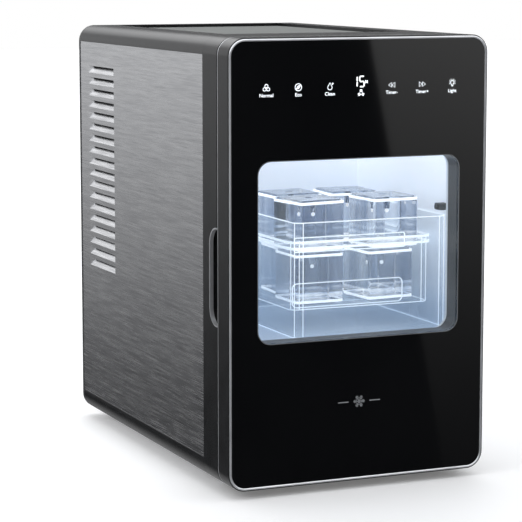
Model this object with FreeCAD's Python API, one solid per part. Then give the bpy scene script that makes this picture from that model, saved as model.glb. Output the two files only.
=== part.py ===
"""Countertop clear-ice maker.

A steel and plastic case with a full-height glass door hinged on the right, a
lit freezing chamber behind it, a clear bin and basket of large ice cubes, a
tilting water tray under an evaporator, and the water and cooling units.

Frame: +X right, -Y front, +Z up, origin on the floor under the middle of the
case. Millimetres.
"""
import FreeCAD
import Part
import math
import os

V = FreeCAD.Vector

# ---------------------------------------------------------------- the case
WIDTH = 254.4
DEPTH = 400.0            # door glass to back panel
HEIGHT = 400.0           # above the feet
FOOT_H = 8.0
FOOT_R = 12.0
FOOT_INSET = 34.0        # foot centre to the sides of the case
STUD_R = 3.0
CORNER_R = 16.0          # long outer edges of the case and door
FRAME_D = 33.0           # front moulding, front to back
RAIL_H = 20.8            # bottom rails
RAIL_W = 14.0
TOP_H = 16.0             # top moulding
SHELL_T = 3.0            # wall of the mouldings
SHEET_T = 1.0            # steel side panels
SHEET_INSET = 0.4        # panels lie just below the mouldings
BACK_T = 3.0
PAN_T = 2.0
PAN_LIP = 12.0
FOOT_TAPER = 2.0         # a foot is this much narrower on the floor
STUD_GRIP = 2.0          # foot stud through the pan
SLOT_END = 0.1           # half the flat left at the end of a rounded slot
GRILLE_SLOTS = 9
GRILLE_LOW = 210.0       # lowest slot of the rear grille above the base
GRILLE_PITCH = 12.0
GRILLE_H = 5.0
GRILLE_SIDE = 60.0
SCREW_IN = 12.0          # case screws to the edges of the back
SCREW_R = 1.8
SCREW_HEAD_R = 3.6
SCREW_HEAD_SET = 1.2

LEFT, RIGHT = -WIDTH / 2, WIDTH / 2
FRONT, BACK = -DEPTH / 2, DEPTH / 2
BASE, TOP = FOOT_H, FOOT_H + HEIGHT

# ---------------------------------------------------------------- louvres
LOUVRES = 18
LOUVRE_PITCH = 11.6
LOUVRE_H = 7.0
LOUVRE_L = 77.0
LOUVRE_IN = 4.0          # how far a blade leans into the case
LOUVRE_BACK = 28.0       # rear end of the blades to the back of the case
LOUVRE_LOW = 156.0       # lowest blade above the base
LOUVRE_END = 4.5         # length of the slope that closes a blade's rear end

# ---------------------------------------------------------------- electrics
INLET = (28.0, 22.0, 20.0)   # width, depth into the case, height
INLET_R = 3.0
INLET_X = 50.0               # inlet centre to the right side
INLET_UP = 44.0
INLET_WALL = 2.0
INLET_FLOOR = 4.0
BLADE = (2.0, 12.0, 5.0)
BLADE_PLACES = ((-7.0, -2.0), (0.0, 2.5), (7.0, -2.0))
POWER_BOARD = (110.0, 90.0)
POWER_GAP = 8.0              # power board to the louvres
POWER_CLEAR = 30.0           # power board to the chamber and the compressor
# parts of the power board: place along and up it, length, height, thickness
POWER_PARTS = ((12, 14, 30, 26, 22), (52, 10, 22, 30, 16), (84, 20, 16, 18, 12),
               (18, 56, 40, 16, 10), (70, 62, 30, 14, 8))
POST_R = 3.0
POST_L = 3.0
POST_IN = 6.0

# ---------------------------------------------------------------- the door
DOOR_T = 25.4
SEAM = 1.4               # gap between door and front moulding
DOOR_WALL = 12.0         # rim of the door shell
GLASS_T = 3.1
GLASS_SET = 0.4          # glass lies behind the bezel's front
BEZEL_INSET = 0.8
BEZEL_W = 2.3
TRIM_T = 1.3             # bright band on the rear edge of the door
TRIM_W = 2.0
TRIM_PROUD = 0.3
WINDOW_SIDE = 28.3       # door edge to window
WINDOW_LOW = 131.0
WINDOW_HIGH = 108.0
WINDOW_R = 12.0
REVEAL_T = 2.5
REVEAL_D = 16.5
FLANGE_T = 1.5
FLANGE_LOW, FLANGE_HIGH = 18.0, 12.0   # flange beyond the window
FLANGE_R = 4.0
SHELL_SET = 1.0          # door shell behind the bezel's front
LINER_LAP = 1.0          # liner's opening beyond the window
PANE_T = 2.2
PANE_LAP = 6.0
LINER_INSET = 9.1        # door liner's edge to the door's edge
GASKET_INSET = 9.4
GASKET_W = 2.4
GASKET_T = 1.1
MAGNET = (8.0, 7.0, 24.0)
MAGNET_IN = 60.0         # magnets to the ends of the door
STRIKE = (6.0, 1.0, 24.0)
STRIKE_IN = 3.0          # strike plates to the left side
DISPLAY_DOWN = 56.0      # touch display row's underside below the top
DISPLAY_H = 24.0
DISPLAY_W = 204.0
DISPLAY_T = 4.4
WELL_PITCH = 30.4
WELLS = 7
WELL_R = 5.5
BOARD_T = 1.6
BOARD_W = 210.0
BOARD_H = 56.0
BOARD_OVER = 4.0         # board above the display row
# parts of the control board: place from its middle and up it, length, height, thickness
BOARD_PARTS = ((-12, 10, 22, 22, 3), (-70, 12, 16, 12, 4), (40, 8, 34, 8, 6),
               (-88, 36, 20, 6, 5), (64, 34, 12, 12, 5))
HINGE_IN = 5.5           # hinge axis to the right side
HINGE_Y = 9.0            # hinge axis to the front
HINGE_END = 40.0         # hinges to the ends of the door
PIN_R = 1.8
PIN_L = 19.6
RUN = 0.05               # running clearance on a radius
BUSH_R = 3.2
BUSH_L = 8.0
TAB_T = 2.5
TAB_W = 7.0
TAB_L = 44.0             # hinge axis to the tab's rear end
SLOT_GAP = 0.75
SLOT_SIDE = 0.4          # hinge slot beside and in front of the tab
SLOT_FRONT = 1.2

# ---------------------------------------------------------------- door grip
GRIP_LOW = 144.5
GRIP_H = 88.5
GRIP_Y = 17.9            # recess, seam to its rear wall
GRIP_X = 8.5             # recess depth
GRIP_R = 16.0
GRIP_TRIM_T = 1.2
GRIP_TRIM_X = 3.5

# ---------------------------------------------------------------- top lid
LID_SIDE = 37.5
LID_FRONT = 100.0
LID_BACK = 15.0
LID_T = 5.0
LID_DROP = 2.8           # lid top below the rails
LID_GAP = 0.5
LID_GRIP = 4.5           # finger gap along the lid's front
LID_PIN_R = 1.3
LID_PIN_L = 14.0
DECK_T = 3.0

# ---------------------------------------------------------------- chamber
CHAMBER_SIDE = 14.4
CHAMBER_LOW = 125.0
CHAMBER_HIGH = 20.0
CHAMBER_FRONT = 4.6      # chamber's front behind the door's back
CHAMBER_BACK = 238.0
LINER_T = 2.0
FIT = 0.2                # assembly clearance between nested mouldings
FOAM_T = 8.0
DRAIN_SLOT = (90.0, 9.0)
LAMP = (10.0, 6.0)
LAMP_SIDE = 18.0         # lamp bar to the chamber's sides
LAMP_FRONT = 6.0
SENSOR = (9.0, 10.0, 6.0)
SENSOR_UP = 5.0          # ice sensor above the bin
SENSOR_TIP_R = 2.2
SENSOR_TIP = 2.0

# ---------------------------------------------------------------- ice, bins
CUBE = 48.6
CUBE_R = 3.0
DIMPLE_R = 3.8
DIMPLE_D = 12.0
CELL_WALL = 2.4
CELLS = 3
CELL_PITCH = CUBE + CELL_WALL
BIN_T = 2.0
BIN_FRONT = 45.0
BIN_D = 180.0
BIN_H = 106.0
BIN_R = 9.0
BASKET_GAP = 2.6         # basket rim to the bin wall
BASKET_FRONT = 21.0      # bin wall to basket front
BASKET_D = 145.0
BASKET_T = 3.0
BASKET_UP = 20.0         # basket floor above the bin floor
BASKET_H = 64.0
RIM_H = 8.0
RIM_W = 2.0
LIP_ENDS = (2.8, 29.6)   # lip on the basket's front to the rim's left and right ends
LIP_T, LIP_H = 2.5, 14.0
LIP_DROP = 10.0          # lip's underside below the rim's top
LIP_R = 2.0
CUBE_GAP = 0.2
LEG_IN, LEG_R = 12.0, 3.5
FLOOR_SLOTS, FLOOR_SLOT_W = 7, 5.0
ROW_FRONT = CUBE * 0.57  # basket's front wall to the first row's middle
ROW_PITCH = CUBE * 1.16
# sideways place in cubes, row, level and turn in degrees of each cube
CUBE_PLACES = (
    (-0.823, 0, 0, 1), (0.648, 0, 0, 5), (-0.638, 1, 0, -2), (0.679, 1, 0, 3),
    (-0.833, 0, 1, 9), (0.751, 0, 1, 5), (-0.741, 1, 1, 2), (0.494, 1, 1, -3),
)

# ---------------------------------------------------------------- freezing
TRAY_T = 2.4
TRAY_UP = 3.0            # tray rim above its pivot
PIVOT_DOWN = 30.0        # pivot below the chamber ceiling
PIVOT_Y = 148.0          # pivot behind the front
SHAFT_R = 3.0
BOSS_R = 6.0
FINGER_R = 4.0
FINGER_L = 40.0
PLATE_T = 6.0
PLATE_W = 32.0
PLATE_UP = 7.0           # plate above the tray rim
COIL_R = 4.0
MOTOR_R = 24.0
MOTOR_L = 24.0
MOTOR_GAP = 2.0          # tray motor to the chamber's left wall
MOTOR_FOOT_W = 28.0
PIPE_BEND = 9.0
COIL_LANE = 9.5          # runs of the coil to the plate's middle
COIL_END = 8.0           # coil's far bend to the last cell's wall
COIL_STEP = 24.0         # between the coil's way in and its way out
COIL_CLEAR = 4.7         # coil's way out to the fill funnel
COIL_BEHIND = 16.0       # coil behind the foam
COIL_OVER = 24.0         # coil above the compressor
COIL_JOIN = 14.0         # coil's joint to the compressor's axis
HOSE_OVER = 24.0         # supply hose above the pump
HOSE_IN = 10.0           # supply hose to the tray's left end
PLATE_SIDES = (18.0, 4.0)   # plate's ends to the walls of the end cells
PLATE_R = 4.0
HANGER_W = 6.0
HANGER_IN = 20.0         # hangers to the end cells' middles
NOTCH_W = 10.0           # overflow notch between the cells
NOTCH_H = CUBE * 0.2
BOSS_L = 2.0             # boss beyond the cell's wall
BLOCK = (8.0, 18.0)      # left bearing block, across and front to back
SPINDLE_END = 4.0        # right spindle beyond the liner
BUSH_END = 5.0           # right bush beyond the liner

# ---------------------------------------------------------------- water
TANK_T = 2.5
TANK_SIDE = 22.0
TANK_FRONT = 4.2         # tank behind the front moulding
TANK_H = 112.0
PUMP_R = 18.0
PUMP_H = 46.0
PUMP_IN = 34.0           # pump axis to the tank's left and rear walls
IMPELLER_R = 12.0
IMPELLER_H = 8.0
VANES = 6
HOSE_R = 4.0
HOSE_BORE = 2.6
FUNNEL = (70.0, 44.0, 46.0)
FUNNEL_T = 2.0
FUNNEL_R = 6.0
FUNNEL_RIGHT = 40.0      # funnel to the right side
FUNNEL_CLEAR = 4.0       # funnel behind the foam
SPOUT_IN = 10.0          # spout behind the funnel's front
SPOUT_L = 12.0
SPOUT_WALL = 1.5
TANK_R = 8.0
PUMP_FLOOR = 4.0
PUMP_EYE_R = 4.0
PUMP_CLEAR = 1.5         # impeller to the pump's wall
PUMP_LIFT = 1.0          # impeller above and below
PUMP_AXLE_R = 1.5
PUMP_AXLE_IN = 14.0      # bearing bore above the impeller's space
PUMP_SLITS, PUMP_SLIT = 4, (2.0, 3.0, 3.0)   # first radius, width, height
HUB_R = 4.0
VANE_T = 1.6
VANE_START = 2.0
FILL_R, FILL_BORE = 5.0, 3.5
FILL_BEND = 12.0
FILL_DOWN = 22.0         # fill hose below the tank's rim
FILL_REACH = 6.0         # fill hose inside the tank
DRAIN_R, DRAIN_BORE = 6.0, 4.0
SOCKET_L = 15.0
SOCKET_WALL = 3.0
KNOB_T = 3.0
KNOB_D = 4.0
KNOB_LAND = 2.0
CUP_R = 2.5
CUP_X = 4.2
PLUG_R = 7.0
OUTLET_X = 52.0          # drain to the left side
OUTLET_UP = 30.0         # drain above the base

# ---------------------------------------------------------------- cooling
COMP_R = 50.0
COMP_H = 128.0
COMP_UP = 12.0
COMP_X = 166.0           # compressor axis to the left side
COMP_BACK = 76.0         # compressor axis to the back
COMP_SOFT = 18.0         # rounding of the can's ends
COMP_SEAM = (0.62, 2.5, 4.0)   # share of the height, how proud, height
COMP_FOOT = (8.0, 37.5, 6.0)   # beyond the can, half depth, thickness
COMP_FOOT_R = 10.0
COMP_FOOT_DROP = 2.0
RELAY = (22.0, 32.0, 36.0)
RELAY_UP = 0.3           # relay's underside, share of the height
RELAY_PROUD = 12.0
RELAY_R = 2.0
EAR_X, EAR_Y = 48.0, 29.0      # grommets to the compressor's axis
GROMMET_R = 8.0
GROMMET_H = 10.0
FINS = 18
FIN_T = 0.7
FIN_D = 28.0
FIN_H = 200.0
FIN_SPAN = 84.0
FIN_TUBES = 6
FIN_TUBE_R = 3.5
TUBE_END = 4.0           # condenser tubes beyond the fins
FRAME_END = 2.0          # condenser frames beyond the fins
COND_X = 14.0            # condenser to the left side
COND_LOW = 158.0
COND_BACK = 24.0
FIN_END = 3.0            # end plates of the condenser
STAND_IN = 8.0
STAND_T = 3.0
FAN_R = 38.0
FAN_HUB_R = 13.0
FAN_BLADES = 5
FAN_D = 14.0
SHROUD_D = 26.0
SHROUD_RIM = 1.5         # fan opening beyond the blades
SHROUD_EDGE = 6.0        # shroud's sides beyond the blades
GRID_T = 3.0             # shroud's spokes and motor cap
SPOKES, SPOKE_W = 4, 4.0
CAP_LAP = 2.0            # cap and hub against the motor's radius
BLADE_T = 2.0
BLADE_W = 16.0
BLADE_PITCH = 55.0
BLADE_ROOT = 4.0
FAN_IN = 4.0             # hub behind the shroud's open side
FAN_AXLE_R = 2.0
FAN_AXLE_HOLE = 3.0
FAN_AXLE_IN = 8.0
FAN_MOTOR_L = 18.0
PIPE_R = 3.0
GAS_BEND = 5.0
GAS_X, GAS_Y = -18.0, 12.0     # hot gas pipe to the compressor's axis
GAS_OVER = 12.0          # above the compressor
GAS_BACK = 10.0          # to the back panel

X_AXIS, Y_AXIS, Z_AXIS = V(1, 0, 0), V(0, 1, 0), V(0, 0, 1)


# ---------------------------------------------------------------- helpers
def box(x0, y0, z0, x1, y1, z1):
    """Block between two corners."""
    return Part.makeBox(x1 - x0, y1 - y0, z1 - z0, V(x0, y0, z0))


def rounded(axis, x0, y0, z0, x1, y1, z1, radius):
    """Block whose four edges along one axis are rounded."""
    solid = box(x0, y0, z0, x1, y1, z1)
    index = "xyz".index(axis)
    edges = [e for e in solid.Edges if abs(e.tangentAt(e.FirstParameter)[index]) > 0.9]
    return solid.makeFillet(radius, edges)


def soft_block(x0, y0, z0, x1, y1, z1, radius):
    """Block with all its edges rounded."""
    solid = box(x0, y0, z0, x1, y1, z1)
    return solid.makeFillet(radius, solid.Edges)


def rod(x, y, z, axis, radius, length):
    """Cylinder from a point along an axis."""
    return Part.makeCylinder(radius, length, V(x, y, z), axis)


def sleeve(x, y, z, axis, outer, inner, length):
    """Cylinder with a bore right through."""
    return rod(x, y, z, axis, outer, length).cut(rod(x, y, z, axis, inner, length))


def union(shapes):
    """One solid from touching or overlapping ones."""
    return shapes[0].multiFuse(shapes[1:]).removeSplitter()


def group(shapes):
    """Separate solids kept together as one node."""
    return Part.makeCompound(shapes)


def pipe(points, radius, bend, bore=0.0):
    """Tube along straight runs joined by tangent arcs."""
    corners = [V(*point) for point in points]
    edges = []
    start = corners[0]
    for before, corner, after in zip(corners, corners[1:], corners[2:]):
        back = (before - corner).normalize()
        ahead = (after - corner).normalize()
        half = back.getAngle(ahead) / 2
        enter = corner + back * (bend / math.tan(half))
        leave = corner + ahead * (bend / math.tan(half))
        middle = corner + (back + ahead).normalize() * (bend / math.sin(half) - bend)
        edges.append(Part.LineSegment(start, enter).toShape())
        edges.append(Part.Arc(enter, middle, leave).toShape())
        start = leave
    edges.append(Part.LineSegment(start, corners[-1]).toShape())
    path = Part.Wire(edges)
    tube = sweep(path, corners, radius)
    if bore:
        tube = tube.cut(sweep(path, corners, bore))
    return tube


def sweep(path, corners, radius):
    """Round bar along a path of runs and arcs."""
    ring = Part.Wire([Part.makeCircle(radius, corners[0], corners[1] - corners[0])])
    return path.makePipeShell([ring], True, False)


def outline(inset, y0, y1, radius=None):
    """Slab of the case's front outline, drawn in by an inset."""
    corner = CORNER_R - inset if radius is None else radius
    corner = max(corner, 2.0)
    return rounded("y", LEFT + inset, y0, BASE + inset, RIGHT - inset, y1, TOP - inset, corner)


def window(grow, y0, y1):
    """Slab of the window's outline, grown by a margin."""
    return rounded("y", LEFT + WINDOW_SIDE - grow, y0, BASE + WINDOW_LOW - grow,
                   RIGHT - WINDOW_SIDE + grow, y1, TOP - WINDOW_HIGH + grow, WINDOW_R + grow)


# ---------------------------------------------------------------- places
DOOR_BACK = FRONT + DOOR_T
FRAME_FRONT = DOOR_BACK + SEAM
FRAME_BACK = FRAME_FRONT + FRAME_D
PANEL_BACK = BACK - BACK_T
PANEL_LOW, PANEL_HIGH = BASE + RAIL_H, TOP - TOP_H
IN_LEFT, IN_RIGHT = LEFT + CHAMBER_SIDE, RIGHT - CHAMBER_SIDE
IN_LOW, IN_HIGH = BASE + CHAMBER_LOW, TOP - CHAMBER_HIGH
IN_FRONT, IN_BACK = DOOR_BACK + CHAMBER_FRONT, FRONT + CHAMBER_BACK
HINGE = (RIGHT - HINGE_IN, FRONT + HINGE_Y)
HINGE_Z = (BASE + HINGE_END, TOP - HINGE_END)
MAGNET_Z = (BASE + MAGNET_IN, TOP - MAGNET_IN)
LID_TOP = TOP - LID_DROP
LID_AXIS = (BACK - LID_BACK - LID_GAP - LID_T / 2, LID_TOP - LID_T / 2)
BIN_W = CELLS * CELL_PITCH + CELL_WALL - FIT
BIN_RIGHT = IN_RIGHT - 1.0
BIN_LEFT = BIN_RIGHT - BIN_W
BIN_Y = FRONT + BIN_FRONT
BIN_LOW = IN_LOW + FIT
BASKET_Y = BIN_Y + BASKET_FRONT
BASKET_LOW = BIN_LOW + BIN_T + BASKET_UP
CUBE_LOW = BASKET_LOW + BASKET_T + CUBE_GAP
TRAY_RIGHT = IN_RIGHT - 1.6
TRAY_LEFT = TRAY_RIGHT - CELLS * CELL_PITCH - CELL_WALL
PIVOT = (FRONT + PIVOT_Y, IN_HIGH - PIVOT_DOWN)
RIM_Z = PIVOT[1] + TRAY_UP
CELL_BACK = PIVOT[0] - TRAY_T
CELL_MID = CELL_BACK - CUBE / 2
CELL_X = [TRAY_LEFT + CELL_WALL + CUBE / 2 + i * CELL_PITCH for i in range(CELLS)]
PLATE_LOW = RIM_Z + PLATE_UP
TANK_LEFT, TANK_RIGHT = LEFT + TANK_SIDE, RIGHT - TANK_SIDE
TANK_Y, TANK_BACK = FRAME_BACK + TANK_FRONT, IN_BACK
TANK_LOW = BASE + PAN_T
PUMP = (TANK_LEFT + PUMP_IN, TANK_BACK - PUMP_IN)
PUMP_LOW = TANK_LOW + TANK_T
OUTLET = (LEFT + OUTLET_X, BASE + OUTLET_UP)
COMP = (LEFT + COMP_X, BACK - COMP_BACK)
COMP_LOW = BASE + PAN_T + COMP_UP
COND = (LEFT + COND_X, BACK - BACK_T - COND_BACK - FIN_SPAN)
FAN = (COND[0] + FIN_D, COND[1] + FIN_SPAN / 2, BASE + COND_LOW + FIN_H / 2)
FUNNEL_X = RIGHT - FUNNEL_RIGHT - FUNNEL[0]
FUNNEL_Y = IN_BACK + LINER_T + FOAM_T + FUNNEL_CLEAR
DECK_TOP = LID_TOP - LID_T - FIT


# ---------------------------------------------------------------- the case
def build_case():
    """Outer mouldings, steel panels, base, feet and back."""
    nodes = {}
    pan = box(LEFT + RAIL_W, FRAME_BACK, BASE, RIGHT - RAIL_W, PANEL_BACK, BASE + PAN_LIP)
    pan = pan.cut(box(LEFT + RAIL_W + PAN_T, FRAME_BACK + PAN_T, BASE + PAN_T,
                      RIGHT - RAIL_W - PAN_T, PANEL_BACK - PAN_T, BASE + PAN_LIP))
    x0, y0, y1 = COND[0], COND[1] + STAND_IN, COND[1] + FIN_SPAN - STAND_IN
    stand = box(x0, y0, BASE, x0 + FIN_D, y1, BASE + COND_LOW - FIN_END)
    stand = stand.cut(box(x0, y0 + STAND_T, BASE, x0 + FIN_D, y1 - STAND_T,
                          BASE + COND_LOW - FIN_END - STAND_T))
    pan = union([pan, stand])
    feet = []
    for x in (LEFT + FOOT_INSET, RIGHT - FOOT_INSET):
        for y in (FRAME_BACK + FOOT_INSET, BACK - FOOT_INSET):
            pan = pan.cut(rod(x, y, BASE, Z_AXIS, STUD_R, PAN_T))
            pad = Part.makeCone(FOOT_R - FOOT_TAPER, FOOT_R, FOOT_H, V(x, y, 0), Z_AXIS)
            feet.append(pad.fuse(rod(x, y, 0, Z_AXIS, STUD_R, FOOT_H + STUD_GRIP)))
    nodes["base_pan"] = pan
    nodes["rubber_feet"] = group(feet)

    frame = outline(0, FRAME_FRONT, FRAME_BACK)
    gap = LINER_T + FIT
    frame = frame.cut(box(IN_LEFT - gap, FRAME_FRONT, IN_LOW - gap,
                          IN_RIGHT + gap, FRAME_BACK, IN_HIGH + gap))
    frame = frame.cut(box(LEFT + RAIL_W, FRAME_FRONT + SHELL_T, BASE + SHELL_T,
                          RIGHT - RAIL_W, FRAME_BACK, IN_LOW - gap - SHELL_T))
    frame = frame.cut(grip(0, GRIP_X))
    for z in HINGE_Z:
        frame = frame.cut(tab(z))
    for z in MAGNET_Z:
        frame = frame.cut(strike(z))
    nodes["front_frame"] = frame
    nodes["strike_plates"] = group([strike(z) for z in MAGNET_Z])
    ring = grip(0, GRIP_TRIM_X).cut(grip(GRIP_TRIM_T, GRIP_TRIM_X))
    nodes["grip_trim"] = ring.common(box(LEFT, FRAME_FRONT, BASE, LEFT + GRIP_X, FRAME_BACK, TOP))

    rails = []
    for side in (-1, 1):
        outer = min(side * WIDTH / 2, side * (WIDTH / 2 - RAIL_W))
        rail = outline(0, FRAME_BACK, PANEL_BACK)
        rails.append(rail.common(box(outer, FRAME_BACK, BASE, outer + RAIL_W, PANEL_BACK, PANEL_LOW)))
    nodes["bottom_rails"] = group(rails)

    top = outline(0, FRAME_BACK, PANEL_BACK)
    top = top.common(box(LEFT, FRAME_BACK, PANEL_HIGH, RIGHT, PANEL_BACK, TOP))
    hollow = outline(SHELL_T, FRAME_BACK + SHELL_T, PANEL_BACK - SHELL_T)
    under = hollow.common(box(LEFT, FRONT, PANEL_HIGH, RIGHT, BACK, DECK_TOP - DECK_T))
    top = top.cut(under)
    top = top.cut(box(LEFT + LID_SIDE, FRONT + LID_FRONT, DECK_TOP,
                      RIGHT - LID_SIDE, BACK - LID_BACK, TOP))
    top = top.cut(funnel_space(FUNNEL_T + FIT, DECK_TOP - DECK_T, DECK_TOP))
    for x in (LEFT + LID_SIDE - LID_PIN_L / 2, RIGHT - LID_SIDE - LID_PIN_L / 2):
        top = top.cut(rod(x, LID_AXIS[0], LID_AXIS[1], X_AXIS, LID_PIN_R, LID_PIN_L))
    nodes["top_frame"] = top

    nodes["left_panel"] = side_panel(-1)
    nodes["right_panel"] = side_panel(1)

    back = outline(0, PANEL_BACK, BACK)
    for i in range(GRILLE_SLOTS):
        z = BASE + GRILLE_LOW + i * GRILLE_PITCH
        back = back.cut(rounded("y", LEFT + GRILLE_SIDE, PANEL_BACK, z, RIGHT - GRILLE_SIDE, BACK,
                                z + GRILLE_H, GRILLE_H / 2 - SLOT_END))
    back = back.cut(inlet_body(FIT))
    back = back.cut(rod(OUTLET[0], PANEL_BACK, OUTLET[1], Y_AXIS, PLUG_R + 3 + FIT, BACK_T))
    screws = []
    for x in (LEFT + SCREW_IN, RIGHT - SCREW_IN):
        for z in (BASE + SCREW_IN, BASE + HEIGHT / 2, TOP - SCREW_IN):
            back = back.cut(rod(x, PANEL_BACK, z, Y_AXIS, SCREW_R, BACK_T))
            head = rod(x, BACK - SCREW_HEAD_SET, z, Y_AXIS, SCREW_HEAD_R, SCREW_HEAD_SET)
            back = back.cut(head)
            screws.append(head.fuse(rod(x, PANEL_BACK, z, Y_AXIS, SCREW_R, BACK_T)))
    nodes["back_panel"] = back
    nodes["case_screws"] = group(screws)
    return nodes


def grip(inset, depth):
    """D-shaped finger recess in the left side, open to the door seam."""
    return rounded("x", LEFT, FRAME_FRONT - 2 * GRIP_R, BASE + GRIP_LOW + inset, LEFT + depth,
                   FRAME_FRONT + GRIP_Y - inset, BASE + GRIP_LOW + GRIP_H - inset, GRIP_R - inset)


def tab(z):
    """Hinge tab: a flat steel bar with a round nose about the hinge axis."""
    x, y = HINGE
    bar = box(x - TAB_W / 2, y, z - TAB_T / 2, x + TAB_W / 2, y + TAB_L, z + TAB_T / 2)
    return bar.fuse(rod(x, y, z - TAB_T / 2, Z_AXIS, TAB_W / 2, TAB_T)).removeSplitter()


def strike(z):
    """Steel plate let into the front moulding for a door magnet."""
    return box(LEFT + STRIKE_IN, FRAME_FRONT, z - STRIKE[2] / 2, LEFT + STRIKE_IN + STRIKE[0],
               FRAME_FRONT + STRIKE[1], z + STRIKE[2] / 2)


def side_panel(side):
    """Steel panel with a column of louvres pressed inwards near the back."""
    x0 = side * (WIDTH / 2 - SHEET_INSET)
    x1 = side * (WIDTH / 2 - SHEET_INSET - SHEET_T)
    lo, hi = min(x0, x1), max(x0, x1)
    panel = box(lo, FRAME_BACK, PANEL_LOW, hi, PANEL_BACK, PANEL_HIGH)
    y1 = BACK - LOUVRE_BACK
    y0 = y1 - LOUVRE_L
    slots, blades = [], []
    inward = -side
    for i in range(LOUVRES):
        z = BASE + LOUVRE_LOW + i * LOUVRE_PITCH
        slots.append(box(lo, y0, z, hi, y1, z + LOUVRE_H))
        profile = [(0, 0), (SHEET_T, 0), (LOUVRE_IN + SHEET_T, LOUVRE_H - SHEET_T),
                   (LOUVRE_IN, LOUVRE_H - SHEET_T)]
        corners = [V(x0 + inward * px, y0, z + pz) for px, pz in profile]
        face = Part.Face(Part.makePolygon(corners + corners[:1]))
        blades.append(face.extrude(V(0, LOUVRE_L, 0)))
        for y, length in ((y0, SHEET_T), (y1 - LOUVRE_END, LOUVRE_END)):
            web = [(0, 0), (LOUVRE_IN, LOUVRE_H - SHEET_T), (0, LOUVRE_H)]
            corners = [V(x0 + inward * px, y, z + pz) for px, pz in web]
            face = Part.Face(Part.makePolygon(corners + corners[:1]))
            end = face.extrude(V(0, length, 0))
            if length == LOUVRE_END:
                slope = [V(x0, y1, z), V(x0 + inward * LOUVRE_IN, y, z), V(x0 + inward * LOUVRE_IN, y1, z)]
                wedge = Part.Face(Part.makePolygon(slope + slope[:1])).extrude(V(0, 0, LOUVRE_H))
                end = end.common(wedge)
            blades.append(end)
    return union([panel.cut(Part.makeCompound(slots))] + blades)


def inlet_body(grow):
    """Block of the mains inlet, grown by a clearance."""
    x, z = RIGHT - INLET_X, BASE + INLET_UP
    return rounded("y", x - INLET[0] / 2 - grow, BACK - INLET[1], z - INLET[2] / 2 - grow,
                   x + INLET[0] / 2 + grow, BACK, z + INLET[2] / 2 + grow, INLET_R)


def build_electrics():
    """Mains inlet with its three blades, and the power board."""
    x, z = RIGHT - INLET_X, BASE + INLET_UP
    body = inlet_body(0)
    body = body.cut(box(x - INLET[0] / 2 + INLET_WALL, BACK - INLET[1] + INLET_FLOOR,
                        z - INLET[2] / 2 + INLET_WALL, x + INLET[0] / 2 - INLET_WALL, BACK,
                        z + INLET[2] / 2 - INLET_WALL))
    blades = []
    root = BACK - INLET[1] + INLET_FLOOR
    for dx, dz in BLADE_PLACES:
        blades.append(box(x + dx - BLADE[0] / 2, root, z + dz - BLADE[2] / 2,
                          x + dx + BLADE[0] / 2, root + BLADE[1], z + dz + BLADE[2] / 2))
    board_x = RIGHT - SHEET_INSET - SHEET_T - LOUVRE_IN - POWER_GAP
    y0, z0 = IN_BACK + POWER_CLEAR, COMP_LOW + COMP_H + POWER_CLEAR
    length, height = POWER_BOARD
    parts = [box(board_x - BOARD_T, y0, z0, board_x, y0 + length, z0 + height)]
    for dy, dz, sy, sz, h in POWER_PARTS:
        parts.append(box(board_x - BOARD_T - h, y0 + dy, z0 + dz, board_x - BOARD_T,
                         y0 + dy + sy, z0 + dz + sz))
    posts = [rod(board_x, y0 + dy, z0 + dz, X_AXIS, POST_R, POST_L)
             for dy in (POST_IN, length - POST_IN) for dz in (POST_IN, height - POST_IN)]
    return {"power_inlet": body, "inlet_blades": group(blades),
            "power_board": union(parts + posts)}


# ---------------------------------------------------------------- the lid
def build_lid():
    """Flap over the water filler, hinged along its rear edge."""
    y_axis, z_axis = LID_AXIS
    x0, x1 = LEFT + LID_SIDE + LID_GAP, RIGHT - LID_SIDE - LID_GAP
    y0 = FRONT + LID_FRONT + LID_GRIP
    flap = box(x0, y0, LID_TOP - LID_T, x1, y_axis, LID_TOP)
    flap = flap.fuse(rod(x0, y_axis, z_axis, X_AXIS, LID_T / 2, x1 - x0)).removeSplitter()
    pins = []
    for x in (LEFT + LID_SIDE - LID_PIN_L / 2, RIGHT - LID_SIDE - LID_PIN_L / 2):
        pins.append(rod(x, y_axis, z_axis, X_AXIS, LID_PIN_R, LID_PIN_L))
        bore = rod(x - FIT, y_axis, z_axis, X_AXIS, LID_PIN_R + RUN, LID_PIN_L + 2 * FIT)
        flap = flap.cut(bore)
    return {"top_lid": flap, "lid_pins": group(pins)}


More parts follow.
